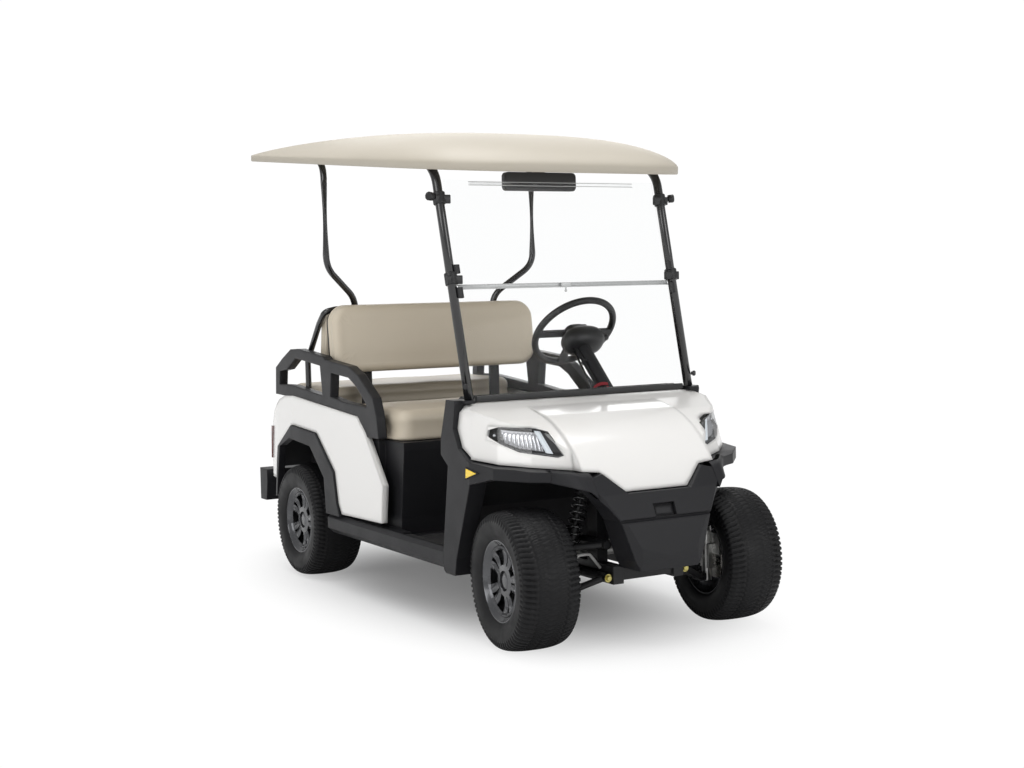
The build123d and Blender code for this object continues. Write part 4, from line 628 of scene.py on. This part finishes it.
lamp_cover = clear("clear lamp cover", (0.96, 0.97, 0.98), 0.06, 0.05)
lamp_rims = []
for side, side_name in ((-1, "right"), (1, "left")):
    s, t = lamp_grid((0, 1), (0, 1), (90, 30))
    from_rim = np.minimum(np.minimum(s, 1 - s) * LAMP_LONG, np.minimum(t, 1 - t) * LAMP_TALL)
    pocket = np.clip((np.clip(from_rim / LAMP_RIM, 0, 1) - 0.25) / 0.75, 0, 1) ** 0.6
    sunk = FLUSH + 0.0015 + LAMP_DEPTH * pocket
    housing = piece("lamp_housing_" + side_name, sheet(lamp_surface(side, s, t, sunk)), lamp_black)
    s, t = lamp_grid((0.17, 0.7), (0.17, 0.86), (240, 14))
    ribs = 0.003 * np.abs(np.sin(math.pi * 17 * (s + 0.1 * t))) * np.clip((t - 0.25) * 3, 0.15, 1)
    hollow = 0.0195 - ribs - 0.008 * (t - 0.5) ** 2 * 4
    piece("lamp_reflector_" + side_name, sheet(lamp_surface(side, s, t, hollow)), lamp_chrome)
    s, t = lamp_grid((0, 1), (0.1, 0.9), (8, 24))
    bar = lamp_surface(side, 0.7 + 0.115 * s + 0.02 * t, t, 0.015 - 0.006 * np.sin(math.pi * s))
    piece("light_bar_" + side_name, sheet(bar), lamp_opal)
    tip = lamp_surface(side, *map(np.array, TURNING_AT))
    way = np.array([-INWARD[0], -side * INWARD[1], 0])
    turning = lathe(tip - 0.004 * way, way, TURNING, 20)
    piece("turning_lamp_" + side_name, gathered([turning]), lamp_chrome)
    s, t = lamp_grid((0.004, 0.996), (0.004, 0.996), (60, 20))
    cover = piece("lamp_cover_" + side_name, sheet(lamp_surface(side, s, t, FLUSH + 0 * s)), lamp_cover)
    # the paint runs round the lamp's outer end in a curve, and fills the square corners there
    s, t = lamp_grid((0, 1), (0, 1), (6, 40))
    rounding = (0.012 + 0.13 * np.abs(2 * t - 1.1) ** 2.6) * s
    piece("lamp_corner_" + side_name, sheet(lamp_surface(side, rounding, t, 0.0004 + 0 * s)), gloss_white)
    lamp_rims += [housing, cover]
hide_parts("headlights")

# Tail lamps are red acrylic, and the amber reflectors on the front pillars are moulded in small cube corners.
red_acrylic = finish("smoked red lamp acrylic", (0.1, 0.008, 0.008), 0.16, cells=(0.0004, 0.0045),
    coat=(1.0, 0.04), mottle=(0.15, 0.12), edge=0.002)
amber_prisms = finish("amber prism reflector", (1.0, 0.62, 0.0), 0.2, cells=(0.0006, 0.004), coat=(1.0, 0.05),
    mottle=(0.15, 0.006))
paint(red_acrylic, "tail_lights")
# corners of the reflector's face on the right side: a triangle that points forwards, over a black base
REFLECTOR = np.array([(0.845, 0.5135, 0.582), (0.905, 0.5075, 0.57), (0.842, 0.5135, 0.549)])
PRISM = [(0, 1, 2), (5, 4, 3), (0, 3, 4, 1), (1, 4, 5, 2), (2, 5, 3, 0)]
bases, plates = [], []
for side in (-1, 1):
    for spread, proud, home in ((1.28, -0.0012, bases), (1.0, 0.0, plates)):
        face = REFLECTOR.mean(0) + spread * (REFLECTOR - REFLECTOR.mean(0)) + (0, proud, 0)
        home.append(np.concatenate([face, face - (0, 0.007, 0)]) * (1, side, 1))
for prism_name, prisms, prism_finish in (("reflector_bases", bases, charcoal),
        ("amber_reflectors", plates, amber_prisms)):
    corners = [tuple(i + 6 * k for i in face) for k in range(2) for face in PRISM]
    reflectors = piece(prism_name, (np.concatenate(prisms), corners), prism_finish, smooth=False)
    rounded = reflectors.modifiers.new("moulded corners", "BEVEL")
    rounded.width, rounded.segments = 0.0012, 2
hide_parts("side_reflectors")

# The recess in the bumper's upper face takes a plain blanking plate, a low step inside a wider one.
PLATE_MIDDLE, PLATE_WAY = np.array([1.2331, 0.0, 0.4419]), np.array([0.922, 0, 0.387])
steps = [swept([PLATE_MIDDLE + rise[0] * PLATE_WAY, PLATE_MIDDLE + rise[1] * PLATE_WAY],
    soft_bar(*size, 0.003, 5)) for rise, size in (((0.0002, 0.004), (0.076, 0.037)),
    ((0.0038, 0.006), (0.062, 0.024)))]
piece("blanking_plate", gathered(steps), rounded_charcoal, sharp=40)

# Each end of the bumper's upper face runs out into the wheel's visor through a moulded shoulder.
# Its face goes from the visor's plane to the bumper's as a smoothstep, 3t^2 - 2t^3, under a chamfered top.
SHOULDER_Y = np.linspace(0.345, 0.238, 30)[:, None]
SHOULDER_PROUD, SHOULDER_WALL = 0.0016, 0.0035
BLEND_FROM, BLEND_TO = 0.343, 0.263  # distances from the middle
# distance from the middle, and there the cowl's lower edge, the shoulder's lower edge and the visor's face
SHOULDER_TOP = np.interp(SHOULDER_Y, (0.196, 0.452), (0.571, 0.597))
SHOULDER_FOOT = np.interp(SHOULDER_Y, (0.238, 0.259, 0.345), (0.4965, 0.519, 0.5455))
VISOR_FACE = np.interp(SHOULDER_Y, (0.214, 0.407), (1.167, 1.0822))
blend = np.clip((BLEND_FROM - SHOULDER_Y) / (BLEND_FROM - BLEND_TO), 0, 1)
blend = blend ** 2 * (3 - 2 * blend)
# rows up the face: share of the height, and how far it leans back
UP_SHARE = np.array([0, 0, 0.25, 0.5, 0.75, 0.86, 0.93, 1.0, 1.0])
LEAN_BACK = np.array([22, 0, 0, 0, 0, 1.0, 5.5, 11, 34]) / 1000
shoulder_z = SHOULDER_FOOT + (SHOULDER_TOP - SHOULDER_FOOT) * UP_SHARE
bumper_face = np.interp(shoulder_z, (0.428, 0.506, 0.578), (1.256, 1.222, 1.176))
shoulder_x = VISOR_FACE + (bumper_face - VISOR_FACE) * blend + SHOULDER_PROUD - LEAN_BACK
shoulder = np.stack([shoulder_x, -SHOULDER_Y + 0 * shoulder_x, shoulder_z], -1)
shoulder = np.concatenate([shoulder, shoulder[:, ::-1] - (SHOULDER_WALL, 0, 0)], 1)
piece("bumper_shoulders", gathered([shoulder, shoulder * (1, -1, 1)]), charcoal, sharp=35)

# -------- seats
# Foam pads under grained beige vinyl, sewn with one seam round each face and stapled to a flat board.
# The pads swell a little between their corners, and the sides draw in between face and board.
# Each is worked out rather than simulated: the firm foam keeps its cut shape.
VINYL = (0.6, 0.53, 0.42)
SEAM_IN, SEAM_HALF, SEAM_DEPTH = 0.03, 0.0022, 0.0006
SIDE_PULL, SEAM_CLEAR = 0.004, 0.062  # how far the sides draw in; where the face is even again
PADS = (
    # name, way it faces, corner radius, face edge radius, crown, lean in x over its height, and how far the
    # foam stands forward, wider and lower than the block it is cut from
    ("seat_cushion", "up", 0.06, 0.038, 0.01, 0.0, (0.0, 0.0, 0.014)),
    ("seat_backrest", "front", 0.074, 0.026, 0.011, -0.032, (0.014, 0.006, 0.0)),
    ("rear_cushion", "up", 0.055, 0.034, 0.009, 0.0, (0.0, 0.0, 0.0)),
    ("rear_backrest", "back", 0.06, 0.026, 0.01, 0.034, (0.0, 0.0, 0.0)),
)


def rounded_ring(corner_steps=14, long_steps=70, short_steps=24):
    """A rounded rectangle as corner-square weights and outward directions: a point is
    weights * (half size - radius) + radius * direction, for any half size and radius."""
    weights, ways = [], []
    turns = ((1, 1), (-1, 1), (-1, -1), (1, -1))
    for k, (sx, sy) in enumerate(turns):
        angle = np.linspace(k, k + 1, corner_steps) * math.pi / 2
        weights.append(np.tile([sx, sy], (corner_steps, 1)))
        ways.append(np.stack([np.cos(angle), np.sin(angle)], 1))
        nx, ny = turns[(k + 1) % 4]
        count = long_steps if k % 2 == 0 else short_steps
        along = np.linspace(0, 1, count + 2)[1:-1, None]
        weights.append(np.array([sx, sy]) * (1 - along) + np.array([nx, ny]) * along)
        ways.append(np.tile([math.cos((k + 1) * math.pi / 2), math.sin((k + 1) * math.pi / 2)], (count, 1)))
    return np.concatenate(weights), np.concatenate(ways)


def quarter(inset, radius):
    """How far a quarter circle has risen at an inset from its rim."""
    return np.sqrt(np.clip(radius ** 2 - (radius - np.minimum(inset, radius)) ** 2, 0, None))


def pad_surface(half_long, half_short, thick, corner, edge, crown):
    """A pad as rings of a rounded rectangle drawn in by a distance, from the middle of the board round the
    sides to the middle of the face. The face rises over its edge as a quarter circle and then as a
    quarter sine up to the crown, less the sewn groove; the sides draw in as a half sine."""
    weights, ways = rounded_ring()
    board_edge = 0.01
    reach = half_short
    arc = (1 - np.cos(np.linspace(0, 1, 9) * math.pi / 2))
    dense_from = SEAM_IN - 3 * SEAM_HALF if SEAM_IN > edge + 0.002 else edge + 0.004
    dense = dense_from + np.linspace(0, 6, 9) * SEAM_HALF
    inward = np.linspace(0, 1, 18)[1:] ** 0.9 * (reach - SEAM_CLEAR) + SEAM_CLEAR
    face_in = np.unique(np.round(np.clip(np.concatenate([arc * edge, dense, inward]), 0, reach), 6))
    seam_at = max(SEAM_IN, edge + 0.004 + 3 * SEAM_HALF)
    crowned = crown * np.sin(np.clip(face_in / reach, 0, 1) * math.pi / 2) ** 0.8
    sewn = SEAM_DEPTH * np.exp(-((face_in - seam_at) / SEAM_HALF) ** 2)
    face_up = thick / 2 - edge + quarter(face_in, edge) + crowned - sewn
    side = np.linspace(0, 1, 9)[1:-1]
    low, high = -thick / 2 + board_edge, thick / 2 - edge
    side_in = SIDE_PULL * np.sin(side * math.pi)
    board_in = np.concatenate([np.linspace(reach, board_edge, 10),
        (1 - np.cos(np.linspace(1, 0, 5) * math.pi / 2))[1:] * board_edge])
    board_up = -thick / 2 + board_edge - quarter(board_in, board_edge)
    inset = np.concatenate([board_in, side_in, face_in])[:, None]
    up = np.concatenate([board_up, low + (high - low) * side, face_up])[:, None]
    radius = np.clip(corner - inset, 0, None)
    first = weights[None, :, 0] * (half_long - inset - radius) + radius * ways[None, :, 0]
    second = weights[None, :, 1] * (half_short - inset - radius) + radius * ways[None, :, 1]
    pull = np.clip(up / thick + 0.5, 0, 1)
    # soft unevenness of hand-stretched vinyl, strongest in the corners
    uneven = 0.0007 * (np.sin(first * 21 + 3 * second) + np.sin(second * 37 - first * 9 + 1.3)) * pull
    off_corner = (np.abs(first) - half_long + 0.05) ** 2 + (np.abs(second) - half_short + 0.05) ** 2
    folds = np.sin((np.abs(first) - np.abs(second)) * 260)
    creased = 0.0009 * np.exp(-off_corner / 0.0018) * folds
    return first, second, up + uneven + creased * (pull > 0.9)


vinyl = finish("grained beige vinyl", VINYL, 0.4, cells=(0.00022, 0.0014), mottle=(0.035, 0.2),
    rough_spread=0.12, coat=(0.05, 0.3))
put(vinyl.node_tree, vinyl.node_tree.nodes["Principled BSDF"], {"Sheen Weight": 0.05})
for pad_name, faces_way, corner, edge, crown, lean, (forward, wider, lower) in PADS:
    low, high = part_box(pad_name)
    low, high = low + Vector((forward, -wider, 0)), high + Vector((forward, wider, -lower))
    middle = (low + high) / 2
    size = high - low
    if faces_way == "up":
        a, b, up = pad_surface(size.y / 2, size.x / 2, size.z - 0.004, corner, edge, crown * 0.6)
        places = np.stack([middle.x - b, middle.y + a, middle.z + up - 0.001], -1)
    else:
        thick = size.x - abs(lean)
        a, b, up = pad_surface(size.y / 2, size.z / 2, thick, corner, edge, crown * 0.5)
        facing = 1 if faces_way == "front" else -1
        x = middle.x + facing * (up - crown * 0.25) + lean * b / size.z
        places = np.stack([x, middle.y + facing * a, middle.z + b], -1)
    pad = piece("pad_" + pad_name, sheet(places, wrap_cols=True), vinyl)
    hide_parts(pad_name)

# A black moulded board closes the back of the front backrest, seen as a dark band between the two pads.
BOARD_DEEP, BOARD_Z, BOARD_HALF, BOARD_CORNER = (-0.372, -0.41), (0.856, 1.102), 0.444, 0.066
PAD_FOOT, PAD_TALL = 0.845, 0.267
board_black = finish("black seat board", (0.012, 0.012, 0.013), 0.5, edge=0.003, cells=(0.0001, 0.0012),
    shine=0.3)
board = swept([(x, 0, sum(BOARD_Z) / 2) for x in BOARD_DEEP], soft_bar(2 * BOARD_HALF,
    BOARD_Z[1] - BOARD_Z[0], BOARD_CORNER, 12))
# it leans back with the pad: its places move back in proportion to their height
board[..., 0] += PADS[1][5] * (board[..., 2] - PAD_FOOT) / PAD_TALL
piece("seat_back_board", gathered([board]), board_black, sharp=40)

# -------- struts, hoops and roof
# Bent steel tube in gloss black powder holds up the roof; the grab hoops behind the seat are the same tube.
# The roof is one thermoformed shell of beige plastic with a fine leather grain, bolted down to the struts.
ROOF_BEIGE = (0.44, 0.402, 0.335)
# x, z of the lower edge's ends; half width
ROOF_REAR, ROOF_FRONT, ROOF_HALF = (-1.0, 1.725), (0.838, 1.556), 0.549
# the rim's wall, and the height of the ceiling inside it
ROOF_WALL, ROOF_HOLLOW = 0.024, 0.02
ROOF_RIM, ROOF_CROWN = 0.024, 0.11  # the upright part of the rim, and the crown over it
# at the rear and in front: how square the corners are, how full the crown is, and how round its edge is
ROOF_SQUARE, ROOF_FULL, ROOF_EDGE = (26.0, 4.3), (2.0, 3.3), (0.86, 0.64)
ROOF_CREST_AT = 0.16  # how far the crown's top stands in front of the middle
FRONT_TUBE = ((0.767, 0.452, 0.8006), (0.5795, 0.4597, 1.556), (0.534, 0.46, 1.5985))
REAR_TUBE = ((-0.398, 0.472, 1.6875), (-0.354, 0.472, 1.645), (-0.354, 0.472, 1.263), (-0.432, 0.3175, 1.136),
    (-0.436, 0.317, 1.0))
gloss_tube = finish("gloss black powder coat", (0.0065, 0.0065, 0.0075), 0.22, coat=(0.7, 0.08),
    mottle=(0.1, 0.12), grain=(0.000004, 0.004))
roof_skin = finish("beige roof shell", ROOF_BEIGE, 0.46, edge=0.008, cells=(0.0001, 0.0012),
    mottle=(0.02, 0.4))
paint(gloss_tube, "grab_hoop")


def bent_path(corners, radius, steps=9):
    """Middle line of a bent tube: straight runs, and at each corner a parabola (1-t)^2 a + 2t(1-t) b + t^2 c
    between the points a and c that stand the bend's radius away from the corner b."""
    corners = np.array(corners, float)
    line = [corners[:1]]
    t = np.linspace(0, 1, steps)[:, None]
    for before, corner, after in zip(corners[:-2], corners[1:-1], corners[2:]):
        reach = [min(radius, 0.48 * np.linalg.norm(end - corner)) / np.linalg.norm(end - corner)
            for end in (before, after)]
        a, c = corner + reach[0] * (before - corner), corner + reach[1] * (after - corner)
        line.append((1 - t) ** 2 * a + 2 * t * (1 - t) * corner + t ** 2 * c)
    return np.concatenate(line + [corners[-1:]])


for tube_name, corners, radius, bend in (("front_struts", FRONT_TUBE, 0.016, 0.03),
        ("rear_struts", REAR_TUBE, 0.013, 0.05)):
    sides = [swept(bent_path(np.array(corners) * (1, side, 1), bend), ring(radius, 28)) for side in (-1, 1)]
    struts = piece("bent_" + tube_name, gathered(sides), gloss_tube)
    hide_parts(tube_name)


def roof_shell():
    """The roof as rings round its plan: each ring is the outline drawn towards the middle by a share s.
    The plan is a superellipse |u|^n + |v|^n = 1, squarer at the rear. The outside rises as
    rim + crown (1 - s^p)^q, with p and q going smoothly from the rear to the front, and the inside goes
    round the wall's foot and over a flat ceiling."""
    turn = circle(240)
    square = np.where(np.cos(turn) > 0, ROOF_SQUARE[1], ROOF_SQUARE[0])
    aft, fore = (np.array([x, 0, z]) for x, z in (ROOF_REAR, ROOF_FRONT))
    run = math.hypot(ROOF_FRONT[0] - ROOF_REAR[0], ROOF_FRONT[1] - ROOF_REAR[1])
    along = signed_power(np.cos(turn), 2 / square) * run / 2
    across = signed_power(np.sin(turn), 2 / square) * ROOF_HALF
    out = np.concatenate([np.linspace(0, 0.9, 24), 1 - np.geomspace(0.08, 0.0008, 14)])
    inner = 1 - ROOF_WALL / ROOF_HALF
    share = np.concatenate([out, [1.0, 1.0, 0.9965, inner + 0.003, inner, inner, inner - 0.004],
        np.linspace(0.9, 0, 8)])
    front = (0.5 + 0.5 * np.tanh(2.5 * share[:len(out), None] * along / (run / 2)))
    full, edge = (ends[0] + (ends[1] - ends[0]) * front for ends in (ROOF_FULL, ROOF_EDGE))
    outside = ROOF_RIM + ROOF_CROWN * (1 - out[:, None] ** full) ** edge
    inside = np.concatenate([[ROOF_RIM, 0.0025, 0, 0, 0.0025, ROOF_HOLLOW - 0.003, ROOF_HOLLOW],
        np.full(8, ROOF_HOLLOW)])
    height = np.concatenate([outside, inside[:, None] + 0 * turn])
    ways = (fore - aft) / run
    upright = np.array([-ways[2], 0, ways[0]])
    centre = (aft + fore) / 2 + ROOF_CREST_AT * ways
    along = along - ROOF_CREST_AT
    lengthwise, sideways = ((share[:, None] * way)[..., None] for way in (along, across))
    return centre + lengthwise * ways + sideways * (0, 1, 0) + height[..., None] * upright


shell = piece("roof_shell", sheet(roof_shell(), wrap_cols=True), roof_skin, sharp=50)
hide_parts("roof")

# -------- windshield
# Two panes of clear acrylic: the upper one folds down over the lower on an extruded hinge rail.
# Moulded nylon clamps with turning knobs hold the panes to the struts.
STRUT_LOW, STRUT_HIGH = np.array([0.767, 0.452, 0.8]), np.array([0.569, 0.46, 1.598])
PANE_HALF, RAIL_Z, TOP_RAIL_Z = 0.434, (1.1683, 1.1857), (1.526, 1.54)
SEAL_Z = (0.792, 0.8117)
KNOB_Z = (1.48, 1.205)
TOP_RAIL_HALF, WEB_HALF, WEB_Z = 0.34, 0.339, 1.533
LATCH_Y, LATCH_Z = (-0.03, 0.006), 1.177
CLIPS = ((1.238, 0.03), (1.158, 0.036))  # height, length
# turned shapes: distance along, radius
PIN = [(0, 0.0028), (0.01, 0.0028), (0.012, 0.0045), (0.016, 0.0045), (0.018, 0.002)]
COLLAR = [(0, 0.0165), (0, 0.02), (0.0025, 0.0222), (0.0395, 0.0222), (0.042, 0.02), (0.042, 0.0165)]
KNOB = [(0, 0.008), (0.01, 0.008), (0.011, 0.0135), (0.013, 0.015), (0.029, 0.0155), (0.0315, 0.014),
    (0.032, 0.008)]
SCREW = [(0, 0.006), (0.006, 0.006), (0.007, 0.0095), (0.014, 0.0095), (0.016, 0.007)]
acrylic = clear("clear acrylic", (0.984, 0.987, 0.987), 0.03, 0.003, 0.22)
paint(acrylic, "windshield")
pale_rail = finish("clear hinge extrusion", (0.5, 0.51, 0.51), 0.24, coat=(0.8, 0.08), mottle=(0.05, 0.05))
nylon = finish("black nylon", (0.012, 0.012, 0.013), 0.4, edge=0.001, cells=(0.00008, 0.0009))


def strut_at(z, side):
    """Middle of a front strut at a height: it is straight from its foot to its top."""
    share = (z - STRUT_LOW[2]) / (STRUT_HIGH[2] - STRUT_LOW[2])
    return (STRUT_LOW + (STRUT_HIGH - STRUT_LOW) * share) * (1, side, 1)


def cross_rail(z, half, width, height, radius, forward=0.0):
    """A straight rail across the cart at a height in the panes' plane."""
    x = strut_at(z, 1)[0] + forward
    ends = np.array([-half, -half + 0.0015, half - 0.0015, half])[:, None]
    shape = soft_bar(width, height, radius) * np.array([0.8, 1, 1, 0.8])[:, None, None]
    return swept(np.concatenate([np.full((4, 1), x), ends, np.full((4, 1), z)], 1), shape)


rail_parts = [cross_rail(*rail) for rail in (
    # height, half length, width, height of the section, corner radius, place ahead of the panes
    (RAIL_Z[0] + 0.0022, PANE_HALF, 0.0125, 0.004, 0.0015),
    (RAIL_Z[1] - 0.0022, PANE_HALF, 0.0125, 0.004, 0.0015),
    (sum(RAIL_Z) / 2, PANE_HALF - 0.001, 0.004, 0.013, 0.001),
    (TOP_RAIL_Z[0] + 0.0012, TOP_RAIL_HALF, 0.007, 0.0022, 0.001, 0.0068),
    (TOP_RAIL_Z[1] - 0.0012, TOP_RAIL_HALF, 0.007, 0.0022, 0.001, 0.0068),
)]
latch_x = strut_at(RAIL_Z[0], 1)[0]
rail_parts.append(swept([(latch_x + 0.0095, y, LATCH_Z) for y in LATCH_Y], soft_bar(0.006, 0.016, 0.002)))
rail_parts.append(lathe((latch_x + 0.01, -0.012, 1.17), (0, 0, -1), PIN, 16))
piece("hinge_rails", gathered(rail_parts), pale_rail, sharp=40)
web_x = strut_at(WEB_Z, 1)[0] + 0.0056
web = swept([(web_x, y, WEB_Z) for y in (-WEB_HALF, WEB_HALF)], soft_bar(0.0012, 0.0118, 0.0005))
piece("top_rail_web", gathered([web]), acrylic)

clamp_parts = [cross_rail(sum(SEAL_Z) / 2, PANE_HALF - 0.008, 0.012, SEAL_Z[1] - SEAL_Z[0], 0.004)]
lean = unit(STRUT_HIGH - STRUT_LOW)
for side in (-1, 1):
    along = lean * (1, side, 1)
    for z in KNOB_Z:
        middle = strut_at(z, side)
        clamp_parts.append(lathe(middle - 0.021 * along, along, COLLAR, 28))
        reach = [middle + (0.012, -side * 0.034, -0.003), middle + (0.012, side * 0.022, -0.003)]
        clamp_parts.append(swept(reach, soft_bar(0.016, 0.03, 0.004)))
    knob = strut_at(KNOB_Z[0], side) + (0.006, side * 0.021, 0.004)
    out = np.array([0.35, side * 0.94, 0.1])
    clamp_parts.append(lathe(knob, out, KNOB, 9))
    for z, tall in CLIPS:
        clip = strut_at(z, side) + (0.017, -side * 0.018, 0)
        run = [clip - tall / 2 * along, clip + tall / 2 * along]
        clamp_parts.append(swept(run, soft_bar(0.022, 0.013, 0.004), (1, 0, 0)))
    foot = strut_at(0.846, side) + (0.014, side * 0.012, 0)
    clamp_parts.append(lathe(foot, (0.8, side * 0.6, 0), SCREW, 20))
clamps = piece("pane_clamps", gathered(clamp_parts), nylon, sharp=38)
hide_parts("windshield_fittings")

# The mirror is a wide glass in a black moulded case, hung under the roof's front rim.
mirror_case = finish("black mirror case", (0.01, 0.01, 0.011), 0.3, edge=0.005, coat=(0.3, 0.2),
    cells=(0.00005, 0.001))
paint(mirror_case, "mirror")
silvered = finish("silvered glass", (0.9, 0.91, 0.92), 0.02, metal=1.0, mottle=(0.01, 0.12))
low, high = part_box("mirror")
MIRROR_Z = 1.545
mirror_middle = (low.x - 0.0003, (low.y + high.y) / 2, MIRROR_Z)
glass_face = swept([mirror_middle, (low.x + 0.002, mirror_middle[1], MIRROR_Z)],
    soft_bar(high.y - low.y - 0.018, 0.05, 0.012, 6))
piece("mirror_glass", gathered([glass_face]), silvered)

# -------- dash, wheel and column
# The dash is moulded in the same charcoal, with a pierced grille of small diamonds along its front edge.
# The steering wheel is foam-skinned urethane over a steel ring, with a moulded pod round its hub.
GRILLE_X, GRILLE_HALF, DIAMOND = (0.696, 0.742), 0.405, 0.0075
WHEEL_MIDDLE, WHEEL_LEAN = np.array([0.366, 0.22, 1.0]), math.radians(43.5)
POD_BACK, COLUMN_BACK = 0.052, 0.07  # distances behind the wheel's middle, along its axle
STALK = [(0, 0.012), (0.02, 0.0125), (0.034, 0.0125), (0.04, 0.009), (0.042, 0.002)]
STRAP_DOWN, STRAP_R = 0.225, 0.037
urethane = finish("wheel urethane", (0.011, 0.011, 0.012), 0.42, edge=0.002, cells=(0.0001, 0.001),
    coat=(0.1, 0.3))
paint(urethane, "steering_wheel")
paint(charcoal, "steering_column")


def dash_top(x):
    """Height of the dash's top, which falls forwards from its ridge."""
    return 0.808 - 0.2513 * (x - 0.69)


# the grille: a raised lattice of two sets of slanting bars along the dash's sloping top, over a near-black
# strip laid on the dash that is painted shade, standing in for the dark inside the grille's openings
bars = []
reach = GRILLE_X[1] - GRILLE_X[0]
for start in np.arange(-GRILLE_HALF, GRILLE_HALF - reach, 2 * DIAMOND):
    for rear_y, front_y in ((start, start + reach), (start + reach, start)):
        ends = [(x, y, dash_top(x) + 0.0012) for x, y in zip(GRILLE_X, (rear_y, front_y))]
        bars.append(swept(ends, soft_bar(0.0017, 0.0022, 0.0004, 2)))
for x in GRILLE_X:
    ends = [(x, y, dash_top(x) + 0.001) for y in (-GRILLE_HALF - 0.003, GRILLE_HALF + 0.003)]
    bars.append(swept(ends, soft_bar(0.005, 0.003, 0.001, 2)))
piece("dash_grille", gathered(bars), nylon)
# a near-black matt sheet just over the dash top: painted shade in the grille's openings
grille_shade_paint = finish("painted grille shade", (0.003, 0.003, 0.003), 0.8, mottle=(0.1, 0.12))
channel_x, channel_y = np.meshgrid(GRILLE_X, (-GRILLE_HALF, GRILLE_HALF), indexing="ij")
channel = np.stack([channel_x, channel_y, dash_top(channel_x) + 0.0004], -1)
piece("painted_grille_shade", sheet(channel), grille_shade_paint)

wheel_axis = np.array([-math.cos(WHEEL_LEAN), 0, math.sin(WHEEL_LEAN)])
wheel_up = np.array([math.sin(WHEEL_LEAN), 0, math.cos(WHEEL_LEAN)])


def pod_surface(middle, half, power):
    """A superellipsoid about a middle: rounded like a box where the power is over 2. Its axes are across the
    cart, up the wheel's plane and along its axle."""
    north = np.linspace(-math.pi / 2, math.pi / 2, 25)[:, None]
    east = np.linspace(0, 2 * math.pi, 49)[None, :-1]
    bend = 2 / power
    level = signed_power(np.cos(north), bend)
    a = half[0] * level * signed_power(np.cos(east), bend)
    b = half[1] * level * signed_power(np.sin(east), bend)
    c = half[2] * signed_power(np.sin(north), bend) + 0 * east
    return middle + a[..., None] * np.array([0, 1.0, 0]) + b[..., None] * wheel_up + c[..., None] * wheel_axis


pod = pod_surface(WHEEL_MIDDLE - POD_BACK * wheel_axis + (0, 0.014, 0), (0.086, 0.06, 0.046), 2.5)
hub_pad = pod_surface(WHEEL_MIDDLE - 0.004 * wheel_axis, (0.046, 0.036, 0.016), 2.8)
stalk = lathe(WHEEL_MIDDLE - POD_BACK * wheel_axis + (0, 0.09, 0), (-0.15, 0.95, 0.28), STALK, 20)
piece("wheel_pod", sheet(pod, wrap_cols=True), urethane)
piece("wheel_stalk", gathered([stalk]), urethane)
piece("horn_pad", sheet(hub_pad, wrap_cols=True), urethane, "steering_wheel")

# a thin brake rod beside the column, and the red strap of the key lanyard tied round the column's foot
column_foot = np.array([0.618, 0.213, 0.735])
column_top = WHEEL_MIDDLE - COLUMN_BACK * wheel_axis
down = unit(column_foot - column_top)
rod = lathe(column_top + (0.01, -0.045, -0.012), down, [(0, 0.0045), (0.27, 0.0045)], 12)
piece("column_rod", gathered([rod]), gloss_tube)
strap_red = finish("red woven strap", (0.3, 0.012, 0.022), 0.75, grain=(0.0003, 0.0016), mottle=(0.2, 0.12))
strap_at = column_top + STRAP_DOWN * down
strap_turn = circle(40)
cross_way = np.cross(down, (0, 1.0, 0))
hoop = np.cos(strap_turn)[:, None] * np.array([0, 1.0, 0]) + np.sin(strap_turn)[:, None] * cross_way
loops = []
for shift, tilt in ((0.0, 0.012), (0.016, -0.01)):
    loop = strap_at + shift * down + STRAP_R * hoop + tilt * np.cos(strap_turn)[:, None] * down
    loops.append(swept(np.concatenate([loop, loop[:1]]), soft_bar(0.0022, 0.013, 0.0009, 2), down))
piece("column_strap", gathered(loops), strap_red)

# -------- batteries
# The battery case under the seat is matt black, so it takes the finish of the rubber mats.
paint(mat_rubber, "battery_pack")
